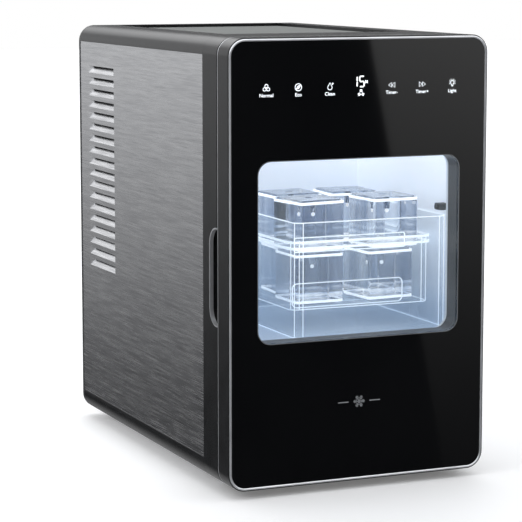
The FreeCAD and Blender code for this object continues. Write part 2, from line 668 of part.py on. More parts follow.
# ---------------------------------------------------------------- chamber
def build_chamber():
    """White liner with its foam jacket, lamp bar and level sensor."""
    t = LINER_T
    walls = box(IN_LEFT - t, IN_FRONT, IN_LOW - t, IN_RIGHT + t, IN_BACK, IN_HIGH + t)
    walls = walls.cut(box(IN_LEFT, IN_FRONT, IN_LOW, IN_RIGHT, IN_BACK, IN_HIGH))
    rear = box(IN_LEFT - t, IN_BACK, IN_LOW - t, IN_RIGHT + t, IN_BACK + t, IN_HIGH + t)
    foam = box(IN_LEFT - t - FOAM_T, FRAME_BACK + SHELL_T, IN_LOW - t - FOAM_T / 2, IN_RIGHT + t + FOAM_T,
               IN_BACK + t + FOAM_T, min(IN_HIGH + t + FOAM_T, DECK_TOP - DECK_T - FIT))
    foam = foam.cut(box(IN_LEFT - t, FRAME_BACK, IN_LOW - t, IN_RIGHT + t, IN_BACK + t, IN_HIGH + t))
    slot = box(-DRAIN_SLOT[0] / 2, IN_BACK - DRAIN_SLOT[1] - t, IN_LOW - t - FOAM_T,
               DRAIN_SLOT[0] / 2, IN_BACK - t, IN_LOW)
    bearing = rod(IN_RIGHT, PIVOT[0], PIVOT[1], X_AXIS, BOSS_R, t + FOAM_T)
    walls, foam = walls.cut(slot).cut(bearing), foam.cut(slot).cut(bearing)
    for points, radius in ((evaporator_route(), COIL_R), (supply_route(), HOSE_R)):
        hole = pipe(points, radius, PIPE_BEND)
        rear, foam = rear.cut(hole), foam.cut(hole)
    liner = group([walls, rear])
    lamp = box(IN_LEFT + LAMP_SIDE, IN_FRONT + LAMP_FRONT, IN_HIGH - LAMP[1],
               IN_RIGHT - LAMP_SIDE, IN_FRONT + LAMP_FRONT + LAMP[0], IN_HIGH)
    eye_z = BIN_LOW + BIN_H + SENSOR_UP
    eye = box(IN_RIGHT - SENSOR[0], BIN_Y, eye_z, IN_RIGHT, BIN_Y + SENSOR[1], eye_z + SENSOR[2])
    eye = eye.fuse(rod(IN_RIGHT - SENSOR[0] - SENSOR_TIP, BIN_Y + SENSOR[1] / 2,
                       eye_z + SENSOR[2] / 2, X_AXIS, SENSOR_TIP_R, 2 * SENSOR_TIP))
    return {"chamber_liner": liner, "foam_jacket": foam, "lamp_bar": lamp, "level_sensor": eye}


# ---------------------------------------------------------------- ice, bins
def build_bins():
    """Clear outer bin, the basket that stands in it, and its cubes."""
    outer = rounded("z", BIN_LEFT, BIN_Y, BIN_LOW, BIN_RIGHT, BIN_Y + BIN_D, BIN_LOW + BIN_H, BIN_R)
    outer = outer.cut(rounded("z", BIN_LEFT + BIN_T, BIN_Y + BIN_T, BIN_LOW + BIN_T,
                              BIN_RIGHT - BIN_T, BIN_Y + BIN_D - BIN_T, BIN_LOW + BIN_H,
                              BIN_R - BIN_T))
    g = BIN_T + BASKET_GAP
    x0, x1 = BIN_LEFT + g, BIN_RIGHT - g
    y0, y1 = BASKET_Y, BASKET_Y + BASKET_D
    z0, z1 = BASKET_LOW, BASKET_LOW + BASKET_H
    w = RIM_W
    body = rounded("z", x0 + w, y0 + w, z0, x1 - w, y1 - w, z1, BIN_R)
    rim = rounded("z", x0, y0, z1 - RIM_H, x1, y1, z1, BIN_R + w)
    space = rounded("z", x0 + BASKET_T, y0 + BASKET_T, z0 + BASKET_T, x1 - BASKET_T, y1 - BASKET_T,
                    z1, BIN_R)
    lip_z = z1 - LIP_DROP
    lip = rounded("y", x0 + LIP_ENDS[0], y0 - LIP_T, lip_z, x1 - LIP_ENDS[1], y0 + w,
                  lip_z + LIP_H, LIP_R)
    basket = body.fuse([rim, lip]).cut(space)
    legs = []
    for x in (x0 + LEG_IN, x1 - LEG_IN):
        for y in (y0 + LEG_IN, y1 - LEG_IN):
            legs.append(rod(x, y, BIN_LOW + BIN_T, Z_AXIS, LEG_R, BASKET_UP))
    slots = []
    for i in range(FLOOR_SLOTS):
        y = y0 + (y1 - y0) * (i + 1) / (FLOOR_SLOTS + 1)
        slots.append(rounded("z", x0 + LEG_IN * 2, y, z0, x1 - LEG_IN * 2, y + FLOOR_SLOT_W,
                             z0 + BASKET_T, FLOOR_SLOT_W / 2 - SLOT_END))
    basket = union([basket.cut(group(slots))] + legs)
    cubes = []
    centre = (x0 + x1) / 2
    front = y0 + BASKET_T + ROW_FRONT
    for dx, row, level, turn in CUBE_PLACES:
        z = CUBE_LOW + level * (CUBE + CUBE_GAP)
        cubes.append(ice_cube(centre + dx * CUBE, front + row * ROW_PITCH, z, turn))
    return {"outer_bin": outer, "ice_basket": basket, "ice_cubes": group(cubes)}


def ice_cube(x, y, z, turn):
    """Rounded cube with the blind hole that its freezing finger leaves."""
    h = CUBE / 2
    cube = soft_block(-h, -h, 0, h, h, CUBE, CUBE_R)
    hole = rod(0, 0, CUBE - DIMPLE_D, Z_AXIS, DIMPLE_R, DIMPLE_D)
    hole = hole.fuse(Part.makeSphere(DIMPLE_R, V(0, 0, CUBE - DIMPLE_D)))
    cube = cube.cut(hole)
    cube.rotate(V(0, 0, 0), Z_AXIS, turn)
    cube.translate(V(x, y, z))
    return cube


# ---------------------------------------------------------------- freezing
def evaporator_route():
    """Cold pipe: from the condenser, along the plate and back to the compressor."""
    z = PLATE_LOW + PLATE_T + COIL_R
    x2 = FUNNEL_X - FUNNEL_T - COIL_R - COIL_CLEAR
    x0, x1 = x2 - COIL_STEP, CELL_X[-1] + CUBE / 2 - COIL_END
    far = IN_BACK + LINER_T + FOAM_T + COIL_BEHIND
    y0, y1 = CELL_MID - COIL_LANE, CELL_MID + COIL_LANE
    entry = (COND[0] + FIN_D / 2, COND[1] - TUBE_END, BASE + COND_LOW + FIN_H * (1 - 0.5 / FIN_TUBES))
    top = COMP_LOW + COMP_H
    join = COMP[1] - COIL_JOIN
    return [entry, (entry[0], far, entry[2]), (x0, far, entry[2]), (x0, far, z), (x0, y0, z),
            (x1, y0, z), (x1, y1, z), (x2, y1, z), (x2, far, z), (x2, far, top + COIL_OVER),
            (x2, join, top + COIL_OVER), (x2, join, top)]


def supply_route():
    """Water hose from the pump, up behind the chamber and over the tray."""
    x, y = PUMP
    top = PLATE_LOW + PLATE_T
    behind = IN_BACK + LINER_T + FOAM_T + HOSE_R + FIT
    out = TRAY_LEFT + HOSE_IN
    start = PUMP_LOW + PUMP_H
    return [(x, y, start), (x, y, start + HOSE_OVER), (x, behind, start + HOSE_OVER),
            (x, behind, top), (out, behind, top), (out, CELL_MID, top), (out, CELL_MID, RIM_Z + 1)]


def build_freezing():
    """Evaporator with its fingers, and the motor-driven tilting tray."""
    y, z = PIVOT
    plate = rounded("z", CELL_X[0] - CUBE / 2 + PLATE_SIDES[0], CELL_MID - PLATE_W / 2, PLATE_LOW,
                    CELL_X[-1] + CUBE / 2 - PLATE_SIDES[1], CELL_MID + PLATE_W / 2,
                    PLATE_LOW + PLATE_T, PLATE_R)
    fingers = []
    for x in CELL_X:
        fingers.append(rod(x, CELL_MID, PLATE_LOW - FINGER_L, Z_AXIS, FINGER_R, FINGER_L))
        fingers.append(Part.makeSphere(FINGER_R, V(x, CELL_MID, PLATE_LOW - FINGER_L)))
    half = HANGER_W / 2
    hangers = [box(x - half, CELL_MID - half, PLATE_LOW + PLATE_T, x + half, CELL_MID + half, IN_HIGH)
               for x in (CELL_X[0] + HANGER_IN, CELL_X[-1] - HANGER_IN)]
    coil = pipe(evaporator_route(), COIL_R, PIPE_BEND)
    t, w = TRAY_T, CELL_WALL
    front = CELL_BACK - CUBE - t
    low = RIM_Z - CUBE - t
    tray = box(TRAY_LEFT, front, low, TRAY_RIGHT, PIVOT[0], RIM_Z)
    for x in CELL_X:
        tray = tray.cut(box(x - CUBE / 2, CELL_BACK - CUBE, low + t, x + CUBE / 2, CELL_BACK, RIM_Z))
    tray = tray.cut(box(CELL_X[0], CELL_MID - NOTCH_W / 2, RIM_Z - NOTCH_H,
                        CELL_X[-1], CELL_MID + NOTCH_W / 2, RIM_Z))
    boss = w + BOSS_L
    ends = [rod(x, y, z, X_AXIS, BOSS_R, boss) for x in (TRAY_LEFT, TRAY_RIGHT - boss)]
    tray = union([tray] + ends)
    motor_right = IN_LEFT + MOTOR_GAP + MOTOR_L
    block_x = (motor_right + TRAY_LEFT) / 2
    spindle_end = IN_RIGHT + LINER_T + SPINDLE_END
    spindles = [rod(motor_right, y, z, X_AXIS, SHAFT_R, TRAY_LEFT + boss - motor_right),
                rod(TRAY_RIGHT - boss, y, z, X_AXIS, SHAFT_R, spindle_end - TRAY_RIGHT + boss)]
    for spindle in spindles:
        tray = tray.cut(spindle)
    inner = box(CELL_X[0] - CUBE / 2, CELL_BACK - CUBE, low + t, CELL_X[-1] + CUBE / 2, CELL_BACK, RIM_Z)
    spindles = [spindle.cut(inner) for spindle in spindles]
    bx, by = BLOCK[0] / 2, BLOCK[1] / 2
    block = box(block_x - bx, y - by, z - by, block_x + bx, y + by, IN_HIGH)
    block = block.cut(rod(block_x - bx, y, z, X_AXIS, SHAFT_R + RUN, BLOCK[0]))
    bush = sleeve(IN_RIGHT, y, z, X_AXIS, BOSS_R, SHAFT_R + RUN, LINER_T + BUSH_END)
    motor = rod(IN_LEFT + MOTOR_GAP, y, z, X_AXIS, MOTOR_R, MOTOR_L)
    motor = motor.fuse(box(IN_LEFT + MOTOR_GAP, y - MOTOR_FOOT_W / 2, z,
                           IN_LEFT + MOTOR_GAP + MOTOR_L, y + MOTOR_FOOT_W / 2, IN_HIGH))
    return {"evaporator": union([plate] + fingers + hangers), "evaporator_coil": coil,
            "water_tray": tray, "tray_spindles": group(spindles),
            "tray_bearings": group([block, bush]), "tray_motor": motor}


# ---------------------------------------------------------------- water
def funnel_space(grow, z0, z1):
    """Upright block of the filler funnel's mouth, grown by a margin."""
    return rounded("z", FUNNEL_X - grow, FUNNEL_Y - grow, z0, FUNNEL_X + FUNNEL[0] + grow,
                   FUNNEL_Y + FUNNEL[1] + grow, z1, FUNNEL_R + grow)


def build_pump():
    """Pump body and the impeller that turns in it."""
    x, y = PUMP
    z = PUMP_LOW
    space_h = IMPELLER_H + 2 * PUMP_LIFT
    shell = rod(x, y, z, Z_AXIS, PUMP_R, PUMP_H)
    shell = shell.cut(rod(x, y, z + PUMP_FLOOR, Z_AXIS, IMPELLER_R + PUMP_CLEAR, space_h))
    shell = shell.cut(rod(x, y, z, Z_AXIS, PUMP_EYE_R, PUMP_FLOOR))
    shell = shell.cut(rod(x, y, z + PUMP_FLOOR + space_h, Z_AXIS, PUMP_AXLE_R + RUN, PUMP_AXLE_IN))
    start, width, height = PUMP_SLIT
    for i in range(PUMP_SLITS):
        slit = box(start, -width / 2, 0, PUMP_R + width, width / 2, height)
        slit.rotate(V(0, 0, 0), Z_AXIS, i * 360 / PUMP_SLITS)
        slit.translate(V(x, y, z))
        shell = shell.cut(slit)
    low = z + PUMP_FLOOR + PUMP_LIFT
    parts = [rod(x, y, low, Z_AXIS, HUB_R, IMPELLER_H),
             rod(x, y, low, Z_AXIS, PUMP_AXLE_R, IMPELLER_H + PUMP_AXLE_IN - PUMP_LIFT)]
    for i in range(VANES):
        vane = box(VANE_START, -VANE_T / 2, 0, IMPELLER_R, VANE_T / 2, IMPELLER_H)
        vane.rotate(V(0, 0, 0), Z_AXIS, i * 360 / VANES)
        vane.translate(V(x, y, low))
        parts.append(vane)
    return shell, union(parts)


def build_water():
    """Filler funnel, tank, pump and impeller, hoses, drain and its plug."""
    t = TANK_T
    rim = TANK_LOW + TANK_H
    tank = rounded("z", TANK_LEFT, TANK_Y, TANK_LOW, TANK_RIGHT, TANK_BACK, rim, TANK_R)
    tank = tank.cut(rounded("z", TANK_LEFT + t, TANK_Y + t, TANK_LOW + t, TANK_RIGHT - t,
                            TANK_BACK - t, rim, TANK_R - t))
    shell, impeller = build_pump()
    supply = pipe(supply_route(), HOSE_R, PIPE_BEND, HOSE_BORE)
    tank = tank.cut(pipe(supply_route(), HOSE_R, PIPE_BEND))

    floor = DECK_TOP - FUNNEL[2]
    mouth = funnel_space(FUNNEL_T, floor, DECK_TOP - FIT)
    mouth = mouth.cut(funnel_space(0, floor + FUNNEL_T, DECK_TOP))
    sx, sy = FUNNEL_X + FUNNEL[0] / 2, FUNNEL_Y + SPOUT_IN
    mouth = mouth.cut(rod(sx, sy, floor, Z_AXIS, FILL_R, FUNNEL_T))
    mouth = mouth.fuse(sleeve(sx, sy, floor - SPOUT_L, Z_AXIS, FILL_R + SPOUT_WALL, FILL_R, SPOUT_L))
    enter_z = rim - FILL_DOWN
    fill = pipe([(sx, sy, floor), (sx, sy, enter_z), (sx, TANK_BACK - t - FILL_REACH, enter_z)],
                FILL_R, FILL_BEND, FILL_BORE)
    tank = tank.cut(rod(sx, TANK_BACK - t, enter_z, Y_AXIS, FILL_R, t))

    ox, oz = OUTLET
    drain_y = BACK - SOCKET_L
    drain = pipe([(ox, TANK_BACK - t, oz), (ox, drain_y, oz)], DRAIN_R, PIPE_BEND, DRAIN_BORE)
    tank = tank.cut(rod(ox, TANK_BACK - t, oz, Y_AXIS, DRAIN_R, t))
    socket = sleeve(ox, drain_y, oz, Y_AXIS, PLUG_R + SOCKET_WALL, PLUG_R, SOCKET_L)
    plug = rod(ox, drain_y + KNOB_LAND, oz, Y_AXIS, PLUG_R - RUN, SOCKET_L - KNOB_LAND)
    reach = PLUG_R - KNOB_LAND
    knob = box(ox - KNOB_T / 2, BACK - KNOB_D, oz - reach, ox + KNOB_T / 2, BACK, oz + reach)
    for side in (-1, 1):
        plug = plug.cut(rod(ox + side * CUP_X, BACK - KNOB_D, oz, Y_AXIS, CUP_R, KNOB_D))
    plug = plug.fuse(knob).removeSplitter()
    return {"water_tank": tank, "pump_body": shell, "pump_impeller": impeller,
            "supply_hose": supply, "fill_funnel": mouth, "fill_hose": fill, "drain_hose": drain,
            "drain_socket": socket, "drain_plug": plug}


# ---------------------------------------------------------------- cooling
def build_cooling():
    """Compressor, condenser with fan, and the refrigerant line."""
    x, y = COMP
    z = COMP_LOW
    can = rod(x, y, z, Z_AXIS, COMP_R, COMP_H)
    can = can.makeFillet(COMP_SOFT, [e for e in can.Edges if len(e.Vertexes) == 1])
    share, proud, seam_h = COMP_SEAM
    seam = rod(x, y, z + COMP_H * share, Z_AXIS, COMP_R + proud, seam_h)
    side, half, thick = COMP_R + COMP_FOOT[0], COMP_FOOT[1], COMP_FOOT[2]
    low = z - COMP_FOOT_DROP
    plate = rounded("z", x - side, y - half, low, x + side, y + half, low + thick, COMP_FOOT_R)
    relay_x, relay_z = x + COMP_R + RELAY_PROUD, z + COMP_H * RELAY_UP
    relay = soft_block(relay_x - RELAY[0], y - RELAY[1] / 2, relay_z,
                       relay_x, y + RELAY[1] / 2, relay_z + RELAY[2], RELAY_R)
    grommets = [rod(x + sx * EAR_X, y + sy * EAR_Y, BASE + PAN_T, Z_AXIS, GROMMET_R, GROMMET_H)
                for sx in (-1, 1) for sy in (-1, 1)]
    nodes = {"compressor": union([can, seam, plate, relay]), "rubber_mounts": group(grommets)}

    cx, cy = COND
    cz = BASE + COND_LOW
    pitch = FIN_SPAN / (FINS - 1)
    fins = [box(cx, cy + i * pitch, cz, cx + FIN_D, cy + i * pitch + FIN_T, cz + FIN_H)
            for i in range(FINS)]
    tubes = [rod(cx + FIN_D / 2, cy - TUBE_END, cz + FIN_H * (i + 0.5) / FIN_TUBES, Y_AXIS,
                 FIN_TUBE_R, FIN_SPAN + 2 * TUBE_END) for i in range(FIN_TUBES)]
    frames = [box(cx, cy - FRAME_END, z0, cx + FIN_D, cy + FIN_SPAN + FRAME_END + FIN_T, z0 + FIN_END)
              for z0 in (cz - FIN_END, cz + FIN_H)]
    nodes["condenser"] = union(fins + tubes + frames)
    nodes.update(build_fan())

    hot_x, hot_y, high = x + GAS_X, y + GAS_Y, z + COMP_H + GAS_OVER
    lane_y = PANEL_BACK - GAS_BACK
    mid_x, low_tube = cx + FIN_D / 2, cz + FIN_H / FIN_TUBES / 2
    nodes["hot_gas_pipe"] = pipe(
        [(hot_x, hot_y, z + COMP_H), (hot_x, hot_y, high), (hot_x, lane_y, high),
         (mid_x, lane_y, high), (mid_x, lane_y, low_tube), (mid_x, cy + FIN_SPAN + TUBE_END, low_tube)],
        PIPE_R, GAS_BEND)
    return nodes


def build_fan():
    """Condenser fan: shroud with spokes, motor, and the bladed wheel on its axle."""
    x, y, z = FAN
    opening, half = FAN_R + SHROUD_RIM, FAN_R + SHROUD_EDGE
    grid_x, motor_x = x + SHROUD_D - GRID_T, x + SHROUD_D
    shroud = box(x, y - half, z - half, motor_x, y + half, z + half)
    shroud = shroud.cut(rod(x, y, z, X_AXIS, opening, SHROUD_D - GRID_T))
    shroud = shroud.cut(sleeve(x, y, z, X_AXIS, opening, FAN_HUB_R + CAP_LAP, SHROUD_D))
    spokes = []
    for i in range(SPOKES):
        spoke = box(0, -SPOKE_W / 2, FAN_HUB_R, GRID_T, SPOKE_W / 2, opening + SHROUD_RIM)
        spoke.rotate(V(0, 0, 0), X_AXIS, 45 + i * 360 / SPOKES)
        spoke.translate(V(grid_x, y, z))
        spokes.append(spoke)
    cap = rod(grid_x, y, z, X_AXIS, FAN_HUB_R + CAP_LAP, GRID_T)
    shroud = union([shroud, cap] + spokes)
    shroud = shroud.cut(rod(grid_x, y, z, X_AXIS, FAN_AXLE_HOLE, GRID_T))
    motor = rod(motor_x, y, z, X_AXIS, FAN_HUB_R, FAN_MOTOR_L)
    motor = motor.cut(rod(motor_x, y, z, X_AXIS, FAN_AXLE_R + RUN, FAN_AXLE_IN + FIT))

    hub_x = x + FAN_IN
    axle_x = hub_x + FAN_D - CAP_LAP
    wheel = [rod(hub_x, y, z, X_AXIS, FAN_HUB_R - CAP_LAP, FAN_D),
             rod(axle_x, y, z, X_AXIS, FAN_AXLE_R, motor_x + FAN_AXLE_IN - axle_x)]
    space = rod(hub_x, y, z, X_AXIS, FAN_R, FAN_D)
    for i in range(FAN_BLADES):
        blade = box(-BLADE_W / 2, -BLADE_T / 2, FAN_HUB_R - BLADE_ROOT, BLADE_W / 2, BLADE_T / 2, FAN_R)
        blade.rotate(V(0, 0, 0), Z_AXIS, BLADE_PITCH)
        blade.rotate(V(0, 0, 0), X_AXIS, i * 360 / FAN_BLADES)
        blade.translate(V(hub_x + FAN_D / 2, y, z))
        wheel.append(blade.common(space))
    return {"fan_shroud": shroud, "fan_motor": motor, "fan_blade": union(wheel)}


# ---------------------------------------------------------------- the door
def build_door():
    """Shell, bezel, glass, window, liner, seal, controls and hinges."""
    nodes = {}
    glass_y = FRONT + GLASS_SET
    pocket_y = glass_y + GLASS_T
    shell = outline(0, FRONT + SHELL_SET, DOOR_BACK)
    shell = shell.cut(outline(BEZEL_INSET, FRONT, pocket_y))
    shell = shell.cut(outline(DOOR_WALL, FRONT, DOOR_BACK))
    liner_y = pocket_y + REVEAL_D + PANE_T
    shell = shell.cut(outline(LINER_INSET, liner_y, DOOR_BACK))
    band = outline(0, DOOR_BACK - TRIM_T, DOOR_BACK).cut(outline(TRIM_W, DOOR_BACK - TRIM_T, DOOR_BACK))
    shell = shell.cut(band)
    nodes["door_bezel"] = outline(BEZEL_INSET, FRONT, pocket_y).cut(
        outline(BEZEL_INSET + BEZEL_W, FRONT, pocket_y))
    glass = outline(BEZEL_INSET + BEZEL_W, glass_y, pocket_y)
    nodes["window_pane"] = window(0, glass_y, pocket_y)
    nodes["door_glass"] = glass.cut(window(0, glass_y, pocket_y))

    reveal = window(REVEAL_T, pocket_y, pocket_y + REVEAL_D)
    flange = rounded("y", LEFT + DOOR_WALL, pocket_y + REVEAL_D - FLANGE_T,
                     BASE + WINDOW_LOW - FLANGE_LOW, RIGHT - DOOR_WALL, pocket_y + REVEAL_D,
                     TOP - WINDOW_HIGH + FLANGE_HIGH, FLANGE_R)
    nodes["window_reveal"] = reveal.fuse(flange).cut(window(0, pocket_y, DOOR_BACK)).removeSplitter()
    pane_y = pocket_y + REVEAL_D
    nodes["inner_pane"] = window(PANE_LAP, pane_y, liner_y)
    nodes["door_liner"] = outline(LINER_INSET, liner_y, DOOR_BACK).cut(
        window(LINER_LAP, liner_y, DOOR_BACK))
    nodes["door_gasket"] = outline(GASKET_INSET, DOOR_BACK, DOOR_BACK + GASKET_T).cut(
        outline(GASKET_INSET + GASKET_W, DOOR_BACK, DOOR_BACK + GASKET_T))
    mx = LEFT + DOOR_WALL
    nodes["door_magnets"] = group([box(mx, liner_y - MAGNET[1], z - MAGNET[2] / 2, mx + MAGNET[0],
                                       liner_y, z + MAGNET[2] / 2) for z in MAGNET_Z])

    row_z = TOP - DISPLAY_DOWN
    row = box(-DISPLAY_W / 2, pocket_y, row_z, DISPLAY_W / 2, pocket_y + DISPLAY_T, row_z + DISPLAY_H)
    for i in range(WELLS):
        x = (i - (WELLS - 1) / 2) * WELL_PITCH
        row = row.cut(rod(x, pocket_y, row_z + DISPLAY_H / 2, Y_AXIS, WELL_R, DISPLAY_T))
    nodes["display_row"] = row
    board_y = pocket_y + DISPLAY_T
    board_z = row_z + DISPLAY_H + BOARD_OVER - BOARD_H
    board = box(-BOARD_W / 2, board_y, board_z, BOARD_W / 2, board_y + BOARD_T, board_z + BOARD_H)
    chips = [box(x, board_y + BOARD_T, z + board_z, x + sx, board_y + BOARD_T + h, z + board_z + sz)
             for x, z, sx, sz, h in BOARD_PARTS]
    nodes["control_board"] = union([board] + chips)

    hx, hy = HINGE
    bushes, pins, tabs = [], [], []
    for z in HINGE_Z:
        half = TAB_T / 2 + SLOT_GAP
        slot = box(hx - TAB_W / 2 - SLOT_SIDE, hy - TAB_W / 2 - SLOT_FRONT, z - half,
                   RIGHT, DOOR_BACK, z + half)
        shell, band = shell.cut(slot), band.cut(slot)
        for z0 in (z + half, z - half - BUSH_L):
            shell = shell.cut(rod(hx, hy, z0, Z_AXIS, BUSH_R, BUSH_L))
            bushes.append(sleeve(hx, hy, z0, Z_AXIS, BUSH_R, PIN_R + RUN, BUSH_L))
        pins.append(rod(hx, hy, z - PIN_L / 2, Z_AXIS, PIN_R, PIN_L))
        tabs.append(tab(z).cut(rod(hx, hy, z - TAB_T, Z_AXIS, PIN_R, 2 * TAB_T)))
    nodes["door_trim"] = band
    nodes["door_shell"] = shell
    nodes["hinge_bushes"] = group(bushes)
    nodes["hinge_pins"] = group(pins)
    nodes["hinge_tabs"] = group(tabs)
    return nodes


def main():
    """Build every node and write one STEP file for each."""
    nodes = {}
    for build in (build_case, build_electrics, build_lid, build_chamber, build_bins, build_freezing,
                  build_water, build_cooling, build_door):
        nodes.update(build())
    os.makedirs("parts", exist_ok=True)
    for name, shape in nodes.items():
        shape.exportStep(f"parts/{name}.step")
        print(name, len(shape.Solids), round(shape.Volume / 1000, 2), shape.isValid())


main()
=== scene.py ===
"""Countertop clear-ice maker: finishes, fine detail and a plain studio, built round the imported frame.

All lengths are metres in the frame's own axes: +X right, -Y front, +Z up, floor at Z = 0. Sizes that
belong to fine detail are dataclass fields in millimetres, and places come from the frame's own boxes.
"""
from __future__ import annotations

import logging
import math
from dataclasses import dataclass
from enum import Enum
from typing import Callable, Iterable, Optional, Sequence, Union

import bmesh
import bpy
from mathutils import Euler, Matrix, Vector


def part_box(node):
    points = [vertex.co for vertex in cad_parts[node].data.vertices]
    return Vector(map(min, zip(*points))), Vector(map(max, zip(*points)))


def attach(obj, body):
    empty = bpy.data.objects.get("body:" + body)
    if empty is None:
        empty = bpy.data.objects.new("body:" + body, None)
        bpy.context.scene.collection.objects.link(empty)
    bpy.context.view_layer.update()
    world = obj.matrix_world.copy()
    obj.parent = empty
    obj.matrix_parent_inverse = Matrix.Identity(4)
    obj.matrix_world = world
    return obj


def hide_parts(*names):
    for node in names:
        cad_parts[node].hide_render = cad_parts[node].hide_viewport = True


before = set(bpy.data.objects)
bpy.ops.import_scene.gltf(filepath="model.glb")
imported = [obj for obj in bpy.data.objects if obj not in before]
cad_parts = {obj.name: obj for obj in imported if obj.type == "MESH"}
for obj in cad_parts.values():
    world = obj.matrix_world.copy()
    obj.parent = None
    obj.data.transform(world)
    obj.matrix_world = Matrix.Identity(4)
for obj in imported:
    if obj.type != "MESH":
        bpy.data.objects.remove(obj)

LOG = logging.getLogger("ice_maker")
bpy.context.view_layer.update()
MM = 0.001
RGB = tuple[float, float, float]
Point = tuple[float, float, float]
Flat = tuple[float, float]
Number = Union[float, "Value"]
FULL_TURN = 2 * math.pi


# ---------------------------------------------------------------- shader arithmetic
class Value:
    """A number that changes over a surface, written as Python arithmetic."""

    def __init__(self, graph: "Graph", socket: bpy.types.NodeSocket) -> None:
        """Wraps one output socket of a graph.

        Args:
            graph: the material's graph.
            socket: the socket that carries the number.
        """
        self.graph = graph
        self.socket = socket

    def __add__(self, other: Number) -> "Value":
        """Sum of two numbers."""
        return self.graph.maths("ADD", self, other)

    __radd__ = __add__

    def __sub__(self, other: Number) -> "Value":
        """This number less another."""
        return self.graph.maths("SUBTRACT", self, other)

    def __rsub__(self, other: Number) -> "Value":
        """Another number less this one."""
        return self.graph.maths("SUBTRACT", other, self)

    def __mul__(self, other: Number) -> "Value":
        """Product of two numbers."""
        return self.graph.maths("MULTIPLY", self, other)

    __rmul__ = __mul__

    def __pow__(self, power: float) -> "Value":
        """This number to a power."""
        return self.graph.maths("POWER", self, power)

    def between(self, low: float, high: float) -> "Value":
        """Ramp from 0 at low to 1 at high, held at both ends.

        Args:
            low: value that gives 0.
            high: value that gives 1.

        Returns:
            The ramped value.
        """
        node = self.graph.node("ShaderNodeMapRange", {"clamp": True},
                               {0: self, 1: low, 2: high, 3: 0.0, 4: 1.0})
        return Value(self.graph, node.outputs[0])


class Graph:
    """The node tree of a material or the world."""

    def __init__(self, owner: Union[bpy.types.Material, bpy.types.World]) -> None:
        """Clears the owner's tree.

        Args:
            owner: material or world that the nodes belong to.
        """
        owner.use_nodes = True
        self.tree = owner.node_tree
        self.tree.nodes.clear()

    def node(self, kind: str, settings: Optional[dict] = None,
             values: Optional[dict] = None) -> bpy.types.Node:
        """Adds one node, its settings first and its sockets after.

        Args:
            kind: the node's type.
            settings: attributes to set.
            values: constants or links by the socket's name or number.

        Returns:
            The new node.
        """
        made = self.tree.nodes.new(kind)
        for name, setting in (settings or {}).items():
            setattr(made, name, setting)
        for name, value in (values or {}).items():
            source = value.socket if isinstance(value, Value) else value
            if isinstance(source, bpy.types.NodeSocket):
                self.tree.links.new(source, made.inputs[name])
            else:
                made.inputs[name].default_value = source
        return made

    def maths(self, operation: str, first: Number, second: Number) -> Value:
        """Adds one Math node and returns its value."""
        made = self.node("ShaderNodeMath", {"operation": operation}, {0: first, 1: second})
        return Value(self, made.outputs[0])

    def place(self) -> bpy.types.NodeSocket:
        """Place on the object, in metres of its frame."""
        return self.node("ShaderNodeTexCoord").outputs["Object"]

    def axis(self, index: int) -> Value:
        """One coordinate of the place, 0 for X to 2 for Z."""
        parts = self.node("ShaderNodeSeparateXYZ", None, {0: self.place()})
        return Value(self, parts.outputs[index])

    def noise(self, per_metre: Point, detail: float = 2.0) -> Value:
        """Cloudy noise with its own density along each axis.

        Args:
            per_metre: features per metre along X, Y and Z.
            detail: octaves of the noise.

        Returns:
            Noise value round 0.5.
        """
        spread = self.node("ShaderNodeMapping", None, {"Vector": self.place(), "Scale": per_metre})
        made = self.node("ShaderNodeTexNoise", None,
                         {"Vector": spread.outputs[0], "Scale": 1.0, "Detail": detail})
        return Value(self, made.outputs[0])

    def mix(self, first: Union[RGB, bpy.types.NodeSocket], second: Union[RGB, bpy.types.NodeSocket],
            factor: Number) -> bpy.types.NodeSocket:
        """Blends two colours.

        Args:
            first: colour at factor 0.
            second: colour at factor 1.
            factor: share of the second colour.

        Returns:
            The blended colour's socket.
        """
        ends = [(*c, 1.0) if isinstance(c, tuple) else c for c in (first, second)]
        made = self.node("ShaderNodeMix", {"data_type": "RGBA"}, {0: factor, 6: ends[0], 7: ends[1]})
        return made.outputs[2]

    def relief(self, height: Value, depth: float, strength: float) -> bpy.types.NodeSocket:
        """Bumped normal from a height.

        Args:
            height: height value.
            depth: metres from height 0 to height 1.
            strength: share of the bump that shows.

        Returns:
            The normal's socket.
        """
        made = self.node("ShaderNodeBump", None,
                         {"Height": height, "Distance": depth, "Strength": strength})
        return made.outputs[0]

    def facing(self, blend: float) -> Value:
        """Value that is 0 face on and 1 edge on."""
        made = self.node("ShaderNodeLayerWeight", None, {"Blend": blend})
        return Value(self, made.outputs["Facing"])


